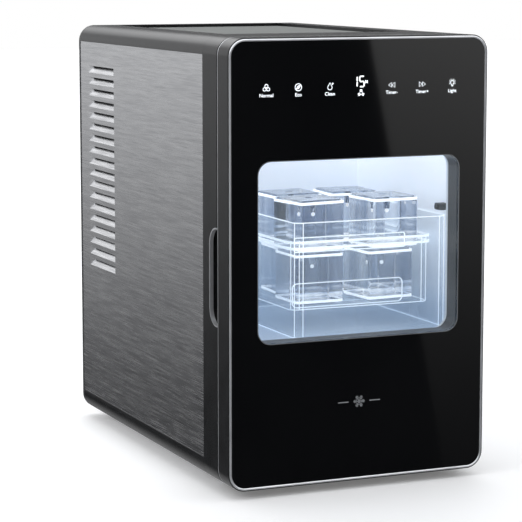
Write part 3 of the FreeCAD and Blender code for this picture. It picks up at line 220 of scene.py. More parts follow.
# ---------------------------------------------------------------- finishes
@dataclass(frozen=True)
class Finish:
    """A surface with two close colours, uneven gloss and fine relief."""

    name: str
    light: RGB
    dark: RGB
    roughness: float = 0.4
    spread: float = 0.08
    metallic: float = 0.0
    cloud: Point = (60.0, 60.0, 60.0)
    grain: Point = (1500.0, 1500.0, 1500.0)
    depth_mm: float = 0.02
    strength: float = 0.35
    fixed: tuple[tuple[str, float], ...] = ()

    def sockets(self, graph: Graph) -> dict:
        """Values of the shader's sockets.

        Args:
            graph: the material's graph.

        Returns:
            Socket names with constants or links.
        """
        cloud = graph.noise(self.cloud)
        grain = graph.noise(self.grain, 3.0)
        return {
            "Base Color": graph.mix(self.dark, self.light, cloud.between(0.3, 0.7)),
            "Roughness": self.roughness + (cloud * 0.6 + grain * 0.4 - 0.5) * self.spread,
            "Metallic": self.metallic,
            "Normal": graph.relief(grain, self.depth_mm * MM, self.strength),
            **dict(self.fixed),
        }

    def material(self) -> bpy.types.Material:
        """The finish's material, made once."""
        title = f"{self.name}_finish"
        known = bpy.data.materials.get(title)
        if known is not None:
            return known
        made = bpy.data.materials.new(title)
        graph = Graph(made)
        shader = graph.node("ShaderNodeBsdfPrincipled", None, self.sockets(graph))
        graph.node("ShaderNodeOutputMaterial", None, {"Surface": shader.outputs[0]})
        return made


@dataclass(frozen=True)
class BrushedSteel(Finish):
    """Steel sheet ground in one direction, with long fine scratches."""

    def sockets(self, graph: Graph) -> dict:
        """Adds broad and fine streaks along the grain."""
        base = super().sockets(graph)
        fine = graph.noise(self.grain, 4.0)
        broad = graph.noise(self.cloud, 3.0)
        streak = (fine * 0.65 + broad * 0.35).between(0.34, 0.66)
        base["Base Color"] = graph.mix(self.dark, self.light, streak)
        base["Roughness"] = self.roughness + (streak - 0.5) * self.spread
        base["Normal"] = graph.relief(fine, self.depth_mm * MM, self.strength)
        return base


@dataclass(frozen=True)
class ClearSheet(Finish):
    """Clear sheet or moulding that shows mostly at its edges."""

    body: float = 0.06
    edge: float = 0.75
    blend: float = 0.35

    def sockets(self, graph: Graph) -> dict:
        """Adds an opacity that rises towards the edge-on directions."""
        base = super().sockets(graph)
        base["Alpha"] = self.body + graph.facing(self.blend) ** 2.0 * (self.edge - self.body)
        return base


@dataclass(frozen=True)
class Glow(Finish):
    """Glowing surface: a lamp lens or a display that really glows, or painted light on a surface that is no
    lamp, such as a wall that the lamp floods.
    """

    glow: RGB = (1.0, 1.0, 1.0)
    dim: RGB = (0.5, 0.5, 0.5)
    power: float = 1.0
    low: float = 0.0
    high: float = 1.0
    axis: int = 2

    def sockets(self, graph: Graph) -> dict:
        """Adds an emission that grows along one axis, by default with height."""
        base = super().sockets(graph)
        rise = graph.axis(self.axis).between(self.low, self.high)
        base["Emission Color"] = graph.mix(self.dim, self.glow, rise)
        base["Emission Strength"] = self.power
        return base


class Palette(Enum):
    """Every finish of the machine, by what it is used on."""

    BLACK_MOULDING = Finish("black_moulding", (0.008, 0.0084, 0.009), (0.005, 0.0052, 0.0056),
                            0.24, 0.08, depth_mm=0.012, strength=0.22, fixed=(("IOR", 1.34),))
    BLACK_PLASTIC = Finish("black_plastic", (0.030, 0.031, 0.033), (0.020, 0.021, 0.022), 0.55, 0.10,
                           grain=(900.0, 900.0, 900.0), depth_mm=0.05)
    REVEAL = Finish("reveal_plastic", (0.046, 0.044, 0.042), (0.030, 0.029, 0.028), 0.38, 0.08)
    STEEL = BrushedSteel("brushed_panel", (0.76, 0.765, 0.78), (0.50, 0.505, 0.52), 0.25, 0.10, 1.0,
                         (30.0, 12.0, 300.0), (200.0, 34.0, 1500.0), 0.02, 0.35)
    BLACK_GLASS = Finish("black_glass", (0.0022, 0.0023, 0.0026), (0.0016, 0.0017, 0.002), 0.035, 0.02,
                         cloud=(14.0, 14.0, 9.0), depth_mm=0.0, strength=0.0)
    WINDOW_GLASS = ClearSheet("window_glass", (0.80, 0.90, 0.96), (0.76, 0.87, 0.94), 0.03, 0.02,
                              cloud=(20.0, 20.0, 20.0), depth_mm=0.0, strength=0.0, body=0.015, edge=0.4,
                              blend=0.2)
    BRIGHT_TRIM = Finish("bright_trim", (0.56, 0.57, 0.59), (0.44, 0.45, 0.47), 0.30, 0.06, 0.75,
                         (40.0, 40.0, 40.0), (1200.0, 1200.0, 90.0), 0.01, 0.3)
    LID = Finish("lid_coating", (0.060, 0.068, 0.064), (0.045, 0.052, 0.049), 0.34, 0.08, 0.35,
                 grain=(1100.0, 1100.0, 1100.0), depth_mm=0.03)
    # the liner's emission is painted light standing in for the lamp's flood: bright near the top, with dark
    # bluish painted shade towards the floor
    LINER_PAINTED_GLOW = Glow("white_liner", (0.62, 0.67, 0.74), (0.58, 0.64, 0.71), 0.32, 0.08,
                 glow=(0.80, 0.85, 0.92), dim=(0.03, 0.07, 0.14), power=0.62, low=0.15, high=0.29)
    DOOR_LINER = Finish("door_liner_white", (0.78, 0.83, 0.87), (0.74, 0.79, 0.84), 0.35, 0.08)
    LAMP = Glow("lamp_lens", (0.95, 0.97, 1.0), (0.92, 0.95, 1.0), 0.3, 0.05, glow=(0.85, 0.94, 1.0),
                dim=(0.80, 0.92, 1.0), power=1.6)
    ACRYLIC = ClearSheet("clear_plastic", (0.72, 0.84, 0.94), (0.64, 0.78, 0.90), 0.10, 0.05,
                         body=0.04, edge=0.55, blend=0.3)
    # painted highlight: glowing lines that stand in for light caught along the clear plastic's edges
    PAINTED_EDGE_HIGHLIGHT = Glow("clear_plastic_edge_highlight", (0.86, 0.93, 0.98), (0.80, 0.88, 0.95), 0.2, 0.05,
                    glow=(0.92, 0.97, 1.0), dim=(0.55, 0.68, 0.85), power=0.55, low=0.13, high=0.23)
    ICE = Finish("clear_ice", (0.98, 0.99, 1.0), (0.13, 0.20, 0.33), 0.03, 0.03,
                 cloud=(60.0, 60.0, 7.0), grain=(90.0, 90.0, 30.0), depth_mm=0.5, strength=0.30,
                 fixed=(("Transmission Weight", 1.0), ("IOR", 1.31)))
    # painted highlight: glowing bands and dots on the ice that stand in for light bent by the cubes
    GLINT = Glow("ice_glint", (0.90, 0.94, 0.98), (0.82, 0.89, 0.96), 0.2, 0.05,
                 glow=(0.95, 0.98, 1.0), dim=(0.70, 0.80, 0.92), power=0.7, low=0.13, high=0.23)
    FOAM = Finish("foam", (0.80, 0.74, 0.52), (0.70, 0.63, 0.42), 0.9, 0.1,
                  grain=(500.0, 500.0, 500.0), depth_mm=0.4, strength=0.6)
    ALUMINIUM = Finish("evaporator_metal", (0.76, 0.78, 0.80), (0.62, 0.64, 0.66), 0.30, 0.12, 1.0)
    FINS = Finish("condenser_metal", (0.55, 0.56, 0.58), (0.42, 0.43, 0.45), 0.42, 0.12, 1.0)
    COPPER = Finish("copper", (0.78, 0.40, 0.24), (0.58, 0.27, 0.15), 0.28, 0.14, 1.0)
    BRASS = Finish("brass_blades", (0.80, 0.62, 0.30), (0.66, 0.50, 0.22), 0.25, 0.1, 1.0)
    TRAY = Finish("tray_plastic", (0.74, 0.82, 0.88), (0.68, 0.77, 0.84), 0.30, 0.08)
    TURNED = Finish("spindle_steel", (0.62, 0.63, 0.65), (0.48, 0.49, 0.51), 0.26, 0.1, 1.0,
                    grain=(1800.0, 120.0, 1800.0))
    NYLON = Finish("nylon", (0.78, 0.77, 0.70), (0.70, 0.69, 0.62), 0.5, 0.08)
    ZINC = Finish("motor_case", (0.52, 0.53, 0.55), (0.34, 0.35, 0.37), 0.38, 0.16, 1.0,
                  cloud=(160.0, 160.0, 160.0))
    GALVANISED = Finish("galvanised", (0.55, 0.56, 0.58), (0.38, 0.39, 0.41), 0.40, 0.16, 1.0,
                        cloud=(110.0, 110.0, 110.0))
    ENAMEL = Finish("compressor_paint", (0.018, 0.018, 0.019), (0.010, 0.010, 0.011), 0.28, 0.1)
    RUBBER = Finish("rubber", (0.026, 0.026, 0.027), (0.016, 0.016, 0.017), 0.75, 0.12,
                    grain=(1200.0, 1200.0, 1200.0), depth_mm=0.06)
    HOSE = Finish("hose", (0.72, 0.74, 0.74), (0.64, 0.66, 0.67), 0.5, 0.1)
    SEAL = Finish("seal", (0.085, 0.087, 0.09), (0.065, 0.067, 0.07), 0.6, 0.1)
    FERRITE = Finish("magnet", (0.12, 0.12, 0.125), (0.07, 0.07, 0.075), 0.5, 0.1, 0.4)
    DISPLAY = Finish("display", (0.03, 0.03, 0.033), (0.02, 0.02, 0.022), 0.5, 0.1)
    BOARD = Finish("circuit_board", (0.020, 0.15, 0.060), (0.012, 0.10, 0.040), 0.35, 0.1,
                   cloud=(400.0, 400.0, 400.0))
    LEGEND = Glow("lit_legend", (0.9, 0.92, 0.95), (0.85, 0.88, 0.92), 0.5, 0.05,
                  glow=(0.92, 0.96, 1.0), dim=(0.86, 0.92, 1.0), power=0.95)
    DIGITS = Glow("lit_digits", (0.95, 0.97, 1.0), (0.9, 0.94, 1.0), 0.5, 0.05,
                  glow=(1.0, 1.0, 1.0), dim=(0.95, 0.98, 1.0), power=1.5)
    MARK = Finish("printed_mark", (0.24, 0.25, 0.26), (0.20, 0.21, 0.22), 0.45, 0.08, 0.2)
    # faint painted glow on the window's ground glass edge, standing in for light from inside
    WINDOW_EDGE_GLOW = Glow("window_edge_glow", (0.10, 0.105, 0.11), (0.08, 0.085, 0.09), 0.25, 0.05,
                       glow=(0.02, 0.022, 0.024), dim=(0.012, 0.013, 0.014), power=0.5, low=0.135, high=0.150)

    def __call__(self) -> bpy.types.Material:
        """The material of this finish."""
        return self.value.material()


NODE_FINISH: dict[Palette, tuple[str, ...]] = {
    Palette.BLACK_MOULDING: ("front_frame", "bottom_rails", "top_frame", "door_shell"),
    Palette.BLACK_PLASTIC: ("back_panel", "power_inlet", "level_sensor", "pump_body", "drain_socket",
                            "fan_shroud", "fan_blade"),
    Palette.REVEAL: ("window_reveal",),
    Palette.STEEL: ("left_panel", "right_panel"),
    Palette.BLACK_GLASS: ("door_glass",),
    Palette.WINDOW_GLASS: ("window_pane", "inner_pane"),
    Palette.BRIGHT_TRIM: ("grip_trim", "door_trim", "door_bezel"),
    Palette.LID: ("top_lid",),
    Palette.LINER_PAINTED_GLOW: ("chamber_liner",),
    Palette.DOOR_LINER: ("door_liner", "fill_funnel"),
    Palette.LAMP: ("lamp_bar",),
    Palette.ACRYLIC: ("outer_bin", "ice_basket"),
    Palette.ICE: ("ice_cubes",),
    Palette.FOAM: ("foam_jacket",),
    Palette.ALUMINIUM: ("evaporator",),
    Palette.FINS: ("condenser",),
    Palette.COPPER: ("evaporator_coil", "hot_gas_pipe"),
    Palette.BRASS: ("inlet_blades",),
    Palette.TRAY: ("water_tray", "water_tank"),
    Palette.TURNED: ("tray_spindles", "hinge_pins", "hinge_tabs", "lid_pins", "case_screws"),
    Palette.NYLON: ("tray_bearings", "pump_impeller", "hinge_bushes"),
    Palette.ZINC: ("tray_motor", "fan_motor"),
    Palette.GALVANISED: ("base_pan", "strike_plates"),
    Palette.ENAMEL: ("compressor",),
    Palette.RUBBER: ("rubber_feet", "rubber_mounts", "drain_plug"),
    Palette.HOSE: ("supply_hose", "fill_hose", "drain_hose"),
    Palette.SEAL: ("door_gasket",),
    Palette.FERRITE: ("door_magnets",),
    Palette.DISPLAY: ("display_row",),
    Palette.BOARD: ("control_board", "power_board"),
}

# rounding of the visible mouldings' edges, in millimetres
SOFT_EDGES: dict[str, float] = {
    "front_frame": 0.5, "bottom_rails": 0.5, "top_frame": 0.6, "door_shell": 0.5, "top_lid": 0.5,
    "door_bezel": 1.0, "outer_bin": 0.5, "ice_basket": 0.7, "window_reveal": 0.5, "level_sensor": 0.8,
    "lamp_bar": 1.0, "water_tray": 0.5, "door_trim": 0.3,
}


def dress_frame() -> None:
    """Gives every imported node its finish, and rounds the edges that show."""
    for palette, names in NODE_FINISH.items():
        for name in names:
            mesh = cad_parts[name].data
            mesh.materials.clear()
            mesh.materials.append(palette())
    for name, width in SOFT_EDGES.items():
        soften(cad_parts[name], width)


def soften(piece: bpy.types.Object, width_mm: float, segments: int = 2) -> None:
    """Rounds the sharp edges of a piece with modifiers.

    Args:
        piece: the object.
        width_mm: width of the rounding.
        segments: strips across each rounded edge.
    """
    split = piece.data.attributes.get("custom_normal")
    if split is not None:
        piece.data.attributes.remove(split)
    for face in piece.data.polygons:
        face.use_smooth = True
    weld = piece.modifiers.new("weld", "WELD")
    weld.merge_threshold = 0.002 * MM
    bevel = piece.modifiers.new("edge", "BEVEL")
    bevel.width = width_mm * MM
    bevel.segments = segments
    bevel.limit_method = "ANGLE"
    bevel.angle_limit = math.radians(40)
    bevel.use_clamp_overlap = True
    flat = piece.modifiers.new("faces", "WEIGHTED_NORMAL")
    flat.keep_sharp = False


# ---------------------------------------------------------------- mesh making
def add_mesh(name: str, verts: Sequence[Sequence[float]], faces: Sequence[Sequence[int]],
             material: bpy.types.Material, smooth: bool = False) -> bpy.types.Object:
    """Makes a mesh object in the scene.

    Args:
        name: the piece's name.
        verts: corners in metres.
        faces: corner numbers of each face.
        material: its finish.
        smooth: whether its faces are shaded smooth.

    Returns:
        The new object.
    """
    mesh = bpy.data.meshes.new(name)
    mesh.from_pydata([tuple(v) for v in verts], [], [tuple(f) for f in faces])
    mesh.materials.append(material)
    for face in mesh.polygons:
        face.use_smooth = smooth
    piece = bpy.data.objects.new(name, mesh)
    bpy.context.scene.collection.objects.link(piece)
    return piece


def add_bmesh(name: str, made: bmesh.types.BMesh, material: bpy.types.Material,
              smooth: bool = False) -> bpy.types.Object:
    """Turns a bmesh into an object and frees it.

    Args:
        name: the piece's name.
        made: the bmesh.
        material: its finish.
        smooth: whether its faces are shaded smooth.

    Returns:
        The new object.
    """
    bmesh.ops.recalc_face_normals(made, faces=made.faces)
    mesh = bpy.data.meshes.new(name)
    made.to_mesh(mesh)
    made.free()
    mesh.materials.append(material)
    for face in mesh.polygons:
        face.use_smooth = smooth
    piece = bpy.data.objects.new(name, mesh)
    bpy.context.scene.collection.objects.link(piece)
    return piece


def arc(centre: Flat, radius: float, start: float, end: float, steps: int = 16) -> list[Flat]:
    """Points along an arc, angles in degrees from +X.

    Args:
        centre: its centre.
        radius: its radius.
        start: first angle.
        end: last angle.
        steps: number of chords.

    Returns:
        The points, both ends included.
    """
    turns = [math.radians(start + (end - start) * i / steps) for i in range(steps + 1)]
    return [(centre[0] + radius * math.cos(t), centre[1] + radius * math.sin(t)) for t in turns]


def rounded_box(x0: float, z0: float, x1: float, z1: float, radius: float, steps: int = 8) -> list[Flat]:
    """Outline of a rectangle with round corners, counter-clockwise."""
    corners = ((x1 - radius, z0 + radius, -90), (x1 - radius, z1 - radius, 0),
               (x0 + radius, z1 - radius, 90), (x0 + radius, z0 + radius, 180))
    points: list[Flat] = []
    for x, z, turn in corners:
        points += arc((x, z), radius, turn, turn + 90, steps)
    return points


@dataclass
class Stroke:
    """A flat line drawn on a panel: its middle line, width and whether it closes."""

    points: list[Flat]
    width: float
    closed: bool = False

    def add_to(self, made: bmesh.types.BMesh, put: Callable[[float, float], Vector]) -> None:
        """Adds the line's faces to a bmesh.

        Args:
            made: the bmesh.
            put: turns a flat point into a place.
        """
        points = self.points[:-1] if self.closed and self.points[0] == self.points[-1] else self.points
        count = len(points)
        pairs = []
        for i, (x, z) in enumerate(points):
            before = points[i - 1] if self.closed or i else points[i]
            after = points[(i + 1) % count] if self.closed or i < count - 1 else points[i]
            along = Vector((after[0] - before[0], after[1] - before[1])).normalized()
            side = Vector((-along.y, along.x)) * (self.width / 2)
            pairs.append([made.verts.new(put(x + s * side.x, z + s * side.y)) for s in (-1, 1)])
        spans = count if self.closed else count - 1
        for i in range(spans):
            (a, b), (c, d) = pairs[i], pairs[(i + 1) % count]
            made.faces.new((a, c, d, b))


def prism(made: bmesh.types.BMesh, outline: Sequence[Flat], put: Callable[[float, float, float], Vector],
          low: float, high: float) -> None:
    """Adds a closed prism to a bmesh.

    Args:
        made: the bmesh.
        outline: its flat outline.
        put: turns a flat point and a height into a place.
        low: first height.
        high: second height.
    """
    rings = [[made.verts.new(put(a, b, h)) for a, b in outline] for h in (low, high)]
    count = len(outline)
    made.faces.new(rings[0])
    made.faces.new(rings[1])
    for i in range(count):
        j = (i + 1) % count
        made.faces.new((rings[0][i], rings[0][j], rings[1][j], rings[1][i]))


def band(made: bmesh.types.BMesh, outer: Sequence[Flat], inner: Sequence[Flat],
         put: Callable[[float, float, float], Vector], low: float, high: float) -> None:
    """Adds a closed ring of even section between two outlines of the same length."""
    rings = [[made.verts.new(put(a, b, h)) for a, b in line]
             for line, h in ((outer, low), (outer, high), (inner, high), (inner, low))]
    count = len(outer)
    for k in range(4):
        first, second = rings[k], rings[(k + 1) % 4]
        for i in range(count):
            j = (i + 1) % count
            made.faces.new((first[i], first[j], second[j], second[i]))


# ---------------------------------------------------------------- touch panel
@dataclass
class TouchPanel:
    """Row of lit touch legends, a two-digit display and a printed mark on the door's glass."""

    pitch_mm: float = 30.4
    symbol_up_mm: float = 356.5
    label_up_mm: float = 348.6
    label_size_mm: float = 4.3
    line_mm: float = 0.55
    digit_h_mm: float = 9.0
    digit_w_mm: float = 4.4
    digit_up_mm: float = 360.2
    digit_line_mm: float = 1.0
    digit_left_mm: float = 2.6
    mark_up_mm: float = 72.6
    proud_mm: float = 0.05
    digit_half_mm: float = 3.4
    unit_right_mm: float = 5.2
    unit_drop_mm: float = 1.6
    unit_size_mm: float = 3.9
    fan_up_mm: float = 350.0
    fan_blade_mm: Flat = (0.9, 3.2)
    fan_line_mm: float = 2.3
    mark_radius_mm: float = 5.6
    mark_bar_mm: Flat = (10.5, 21.0)
    mark_line_mm: float = 0.9

    def __post_init__(self) -> None:
        """Takes the glass's front plane and the base of the door from the frame."""
        low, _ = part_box("door_glass")
        self.y = low.y - self.proud_mm * MM
        self.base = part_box("door_shell")[0].z

    def put(self, x: float, z: float, up_mm: float) -> Callable[[float, float], Vector]:
        """Placing function for a symbol whose middle is at X and a height above the door's base."""
        middle = Vector((x, self.y, self.base + up_mm * MM))
        return lambda a, b: middle + Vector((a * MM, 0.0, b * MM + z))

    def draw(self, name: str, strokes: Iterable[Stroke], x: float, up_mm: float,
             palette: Palette) -> bpy.types.Object:
        """Draws one symbol.

        Args:
            name: the piece's name.
            strokes: its lines, in millimetres round its middle.
            x: sideways place of its middle in metres.
            up_mm: height of its middle above the door's base.
            palette: its finish.

        Returns:
            The symbol's object.
        """
        made = bmesh.new()
        for stroke in strokes:
            stroke.add_to(made, self.put(x, 0.0, up_mm))
        piece = add_bmesh(name, made, palette())
        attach(piece, "door")
        return piece

    def ring(self, x: float, z: float, radius: float) -> Stroke:
        """Round line."""
        return Stroke(arc((x, z), radius, 0, 360, 28), self.line_mm, True)

    def symbols(self) -> dict[str, list[Stroke]]:
        """Lines of the six touch symbols, from left to right."""
        w = self.line_mm
        cubes = [self.ring(-1.75, -1.1, 1.45), self.ring(1.75, -1.1, 1.45), self.ring(0, 1.75, 1.45)]
        leaf = [self.ring(0, 0, 3.1), Stroke(arc((-1.6, 1.7), 3.3, -75, 5), w),
                Stroke(arc((1.7, -1.6), 3.3, 105, 185), w), Stroke([(-1.7, -1.6), (1.6, 1.6)], w)]
        drop = Stroke(arc((0, -0.9), 2.1, 150, 390, 22) + [(0.0, 3.2)], w, True)
        spark = [Stroke([(2.6, 1.5), (2.6, 3.3)], w), Stroke([(1.7, 2.4), (3.5, 2.4)], w)]
        back = [self._arrow(-0.2, -1), self._arrow(3.0, -1)]
        ahead = [self._arrow(0.2, 1), self._arrow(-3.0, 1)]
        rays = [Stroke([(2.6 * math.cos(t), 0.9 + 2.6 * math.sin(t)),
                        (3.5 * math.cos(t), 0.9 + 3.5 * math.sin(t))], w)
                for t in (math.radians(a) for a in (-20, 25, 65, 115, 155, 200))]
        bulb = [Stroke(arc((0, 0.9), 1.75, -55, 235, 20) + [(-0.8, -1.6), (0.8, -1.6)], w, True),
                Stroke([(-0.7, -2.4), (0.7, -2.4)], w)] + rays
        return {"normal": cubes, "eco": leaf, "clean": [drop] + spark, "": [],
                "timer-": back, "timer+": ahead, "light": bulb}

    def _arrow(self, tip: float, way: int) -> Stroke:
        """Outlined triangle that points left (-1) or right (1)."""
        return Stroke([(tip, 2.2), (tip, -2.2), (tip + way * 3.0, 0.0)], self.line_mm, True)

    def digit(self, lit: str, x: float) -> list[Stroke]:
        """Lines of one seven-segment digit.

        Args:
            lit: letters of the lit segments, a to g.
            x: sideways place of its middle in millimetres.

        Returns:
            Its strokes.
        """
        h, w = self.digit_h_mm / 2, self.digit_w_mm / 2
        gap = 0.35
        ends = {"a": ((-w, h), (w, h)), "b": ((w, h), (w, 0)), "c": ((w, 0), (w, -h)),
                "d": ((-w, -h), (w, -h)), "e": ((-w, 0), (-w, -h)), "f": ((-w, h), (-w, 0)),
                "g": ((-w, 0), (w, 0))}
        strokes = []
        for letter in lit:
            (ax, az), (bx, bz) = ends[letter]
            sx, sz = math.copysign(gap, bx - ax) * (ax != bx), math.copysign(gap, bz - az) * (az != bz)
            strokes.append(Stroke([(x + ax + sx, az + sz), (x + bx - sx, bz - sz)], self.digit_line_mm))
        return strokes

    def label(self, words: str, x: float, up_mm: float, size_mm: float, palette: Palette) -> None:
        """Writes one generic word on the glass.

        Args:
            words: the word.
            x: sideways place of its middle in metres.
            up_mm: height of its base line above the door's base.
            size_mm: size of its letters.
            palette: its finish.
        """
        curve = bpy.data.curves.new(f"label_{words}", "FONT")
        curve.body = words
        curve.align_x = "CENTER"
        curve.size = size_mm * MM
        curve.offset = 0.03 * MM
        draft = bpy.data.objects.new("label_draft", curve)
        bpy.context.scene.collection.objects.link(draft)
        bpy.context.view_layer.update()
        mesh = bpy.data.meshes.new_from_object(draft.evaluated_get(bpy.context.evaluated_depsgraph_get()))
        bpy.data.objects.remove(draft)
        mesh.transform(Matrix.Translation((x, self.y, self.base + up_mm * MM))
                       @ Euler((math.pi / 2, 0, 0)).to_matrix().to_4x4())
        mesh.materials.clear()
        mesh.materials.append(palette())
        name = "label_" + words.lower().replace("+", "_more").replace("-", "_less")
        piece = bpy.data.objects.new(name, mesh)
        bpy.context.scene.collection.objects.link(piece)
        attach(piece, "door")

    def snowflake(self, radius: float) -> list[Stroke]:
        """Six-armed snow crystal, a plain cooling symbol."""
        strokes = []
        for i in range(6):
            turn = i * FULL_TURN / 6
            out = Vector((math.cos(turn), math.sin(turn)))
            strokes.append(Stroke([(0.0, 0.0), tuple(out * radius)], 0.9))
            for share in (0.45, 0.72):
                root = out * radius * share
                for side in (-1, 1):
                    t = turn + side * FULL_TURN / 6
                    tip = root + Vector((math.cos(t), math.sin(t))) * radius * 0.28
                    strokes.append(Stroke([tuple(root), tuple(tip)], 0.8))
        return strokes

    def build(self) -> None:
        """Draws the whole panel."""
        middle = (len(self.symbols()) - 1) / 2
        for i, (word, strokes) in enumerate(self.symbols().items()):
            x = (i - middle) * self.pitch_mm * MM
            if not word:
                continue
            name = "symbol_" + word.replace("+", "_more").replace("-", "_less")
            self.draw(name, strokes, x, self.symbol_up_mm, Palette.LEGEND)
            self.label(word.capitalize(), x, self.label_up_mm, self.label_size_mm, Palette.LEGEND)
        half = self.digit_half_mm
        self.draw("digits", self.digit("bc", -half) + self.digit("afgcd", half),
                  -self.digit_left_mm * MM, self.digit_up_mm, Palette.DIGITS)
        self.label("M", self.unit_right_mm * MM, self.digit_up_mm - self.unit_drop_mm,
                   self.unit_size_mm, Palette.LEGEND)
        root, tip = self.fan_blade_mm
        petals = []
        for i in range(3):
            t = math.radians(90 + 120 * i)
            petals.append(Stroke([(root * math.cos(t), root * math.sin(t)),
                                  (tip * math.cos(t), tip * math.sin(t))], self.fan_line_mm))
        self.draw("symbol_fan", petals, 0.0, self.fan_up_mm, Palette.LEGEND)
        near, far = self.mark_bar_mm
        bars = [Stroke([(s * near, 0.0), (s * far, 0.0)], self.mark_line_mm) for s in (-1, 1)]
        self.draw("printed_mark", self.snowflake(self.mark_radius_mm) + bars, 0.0, self.mark_up_mm,
                  Palette.MARK)


# ---------------------------------------------------------------- window
@dataclass
class WindowEdge:
    """Ground edge of the glass round the window, with a faint painted glow that stands in for light from
    inside.
    """

    width_mm: float = 0.8
    corner_mm: float = 12.0
    depth_mm: float = 0.30

    def build(self) -> bpy.types.Object:
        """Makes the ring on the glass.

        Returns:
            The ring.
        """
        low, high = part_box("window_pane")
        w, r = self.width_mm * MM, self.corner_mm * MM
        outer = rounded_box(low.x - w, low.z - w, high.x + w, high.z + w, r + w)
        inner = rounded_box(low.x, low.z, high.x, high.z, r)
        made = bmesh.new()
        band(made, outer, inner, lambda a, b, h: Vector((a, h, b)), low.y - self.depth_mm * MM, low.y)
        piece = add_bmesh("window_edge_glow", made, Palette.WINDOW_EDGE_GLOW())
        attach(piece, "door")
        return piece


# ---------------------------------------------------------------- ice
@dataclass
class IceLoad:
    """Clear cubes, each with the blind hole that its freezing finger leaves."""

    side_mm: float = 48.6
    corner_mm: float = 3.2
    hole_r_mm: float = 3.8
    hole_d_mm: float = 13.0
    gap_mm: float = 0.2
    wall_mm: float = 3.0
    lip_mm: float = 2.5
    front_share: float = 0.57
    row_share: float = 1.16
    # sideways place in cubes, row, level and turn of each cube, as in the basket
    places: tuple[tuple[float, int, int, float], ...] = (
        (-0.823, 0, 0, 1), (0.648, 0, 0, 5), (-0.638, 1, 0, -2), (0.679, 1, 0, 3),
        (-0.833, 0, 1, 9), (0.751, 0, 1, 5), (-0.741, 1, 1, 2), (0.494, 1, 1, -3))
    glint_mm: float = 2.6
    skin_mm: float = 0.12
    glint_dot_r_mm: float = 2.0

    def cube(self, number: int, place: Vector, turn: float) -> bpy.types.Object:
        """One cube with rounded edges and a blind hole in its top; its finish makes the faces wavy.

        Args:
            number: its number.
            place: middle of its underside.
            turn: turn about the vertical in degrees.

        Returns:
            The cube.
        """
        half = self.side_mm * MM / 2
        made = bmesh.new()
        bmesh.ops.create_cube(made, size=2 * half)
        bmesh.ops.bevel(made, geom=made.edges[:], offset=self.corner_mm * MM, segments=4, profile=0.5,
                        affect="EDGES", clamp_overlap=True)
        bmesh.ops.translate(made, verts=made.verts, vec=(0, 0, half))
        body = add_bmesh(f"ice_cube_{number}", made, Palette.ICE(), True)
        tool_mesh = bmesh.new()
        length = 2 * self.hole_d_mm * MM
        bmesh.ops.create_cone(tool_mesh, cap_ends=True, segments=28, radius1=self.hole_r_mm * MM * 0.8,
                              radius2=self.hole_r_mm * MM * 1.2, depth=length)
        bmesh.ops.translate(tool_mesh, verts=tool_mesh.verts, vec=(0, 0, 2 * half))
        tool = add_bmesh("ice_tool", tool_mesh, Palette.ICE(), True)
        cut = body.modifiers.new("hole", "BOOLEAN")
        cut.operation = "DIFFERENCE"
        cut.solver = "EXACT"
        cut.object = tool
        bpy.context.view_layer.update()
        depsgraph = bpy.context.evaluated_depsgraph_get()
        mesh = bpy.data.meshes.new_from_object(body.evaluated_get(depsgraph))
        body.modifiers.clear()
        body.data = mesh
        bpy.data.objects.remove(tool)
        mesh.transform(Matrix.Translation(place) @ Matrix.Rotation(math.radians(turn), 4, "Z"))
        even = body.modifiers.new("faces", "WEIGHTED_NORMAL")
        even.keep_sharp = False
        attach(body, "basket")
        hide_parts("ice_cubes")
        return body

    def build(self) -> list[bpy.types.Object]:
        """Lays out all the cubes in the basket."""
        basket_low, basket_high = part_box("ice_basket")
        cubes_low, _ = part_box("ice_cubes")
        middle = (basket_low.x + basket_high.x) / 2
        front = basket_low.y + (self.lip_mm + self.wall_mm + self.side_mm * self.front_share) * MM
        cubes = []
        for number, (dx, row, level, turn) in enumerate(self.places, 1):
            place = Vector((middle + dx * self.side_mm * MM, front + row * self.side_mm * self.row_share * MM,
                            cubes_low.z + level * (self.side_mm + self.gap_mm) * MM))
            cubes.append(self.cube(number, place, turn))
            cubes.append(self.glints(number, place, turn))
        return cubes

    def glints(self, number: int, place: Vector, turn: float) -> bpy.types.Object:
        """Painted highlights: glowing bands where a cube's top and bottom bend the light, and a glowing dot
        under its hole.

        Args:
            number: the cube's number.
            place: middle of its underside.
            turn: its turn about the vertical in degrees.

        Returns:
            One object with all of them.
        """
        half, skin, tall = self.side_mm * MM / 2, self.skin_mm * MM, self.glint_mm * MM
        spin = Matrix.Translation(place) @ Matrix.Rotation(math.radians(turn), 4, "Z")
        outer = rounded_box(-half, -half, half, half, self.corner_mm * MM)
        inner = rounded_box(-half + skin, -half + skin, half - skin, half - skin,
                            self.corner_mm * MM - skin)
        made = bmesh.new()
        for low in (self.corner_mm * MM / 2, 2 * half - self.corner_mm * MM / 2 - tall):
            band(made, outer, inner, lambda a, b, h: spin @ Vector((a, b, h)), low, low + tall)
        # the glowing dot under the hole is a painted highlight
        glint_dot = spin @ Matrix.Translation((0, 0, 2 * half - self.hole_d_mm * MM - self.glint_dot_r_mm * MM))
        bmesh.ops.create_uvsphere(made, u_segments=16, v_segments=8, radius=self.glint_dot_r_mm * MM,
                                  matrix=glint_dot)
        piece = add_bmesh(f"ice_glints_{number}", made, Palette.GLINT(), True)
        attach(piece, "basket")
        return piece
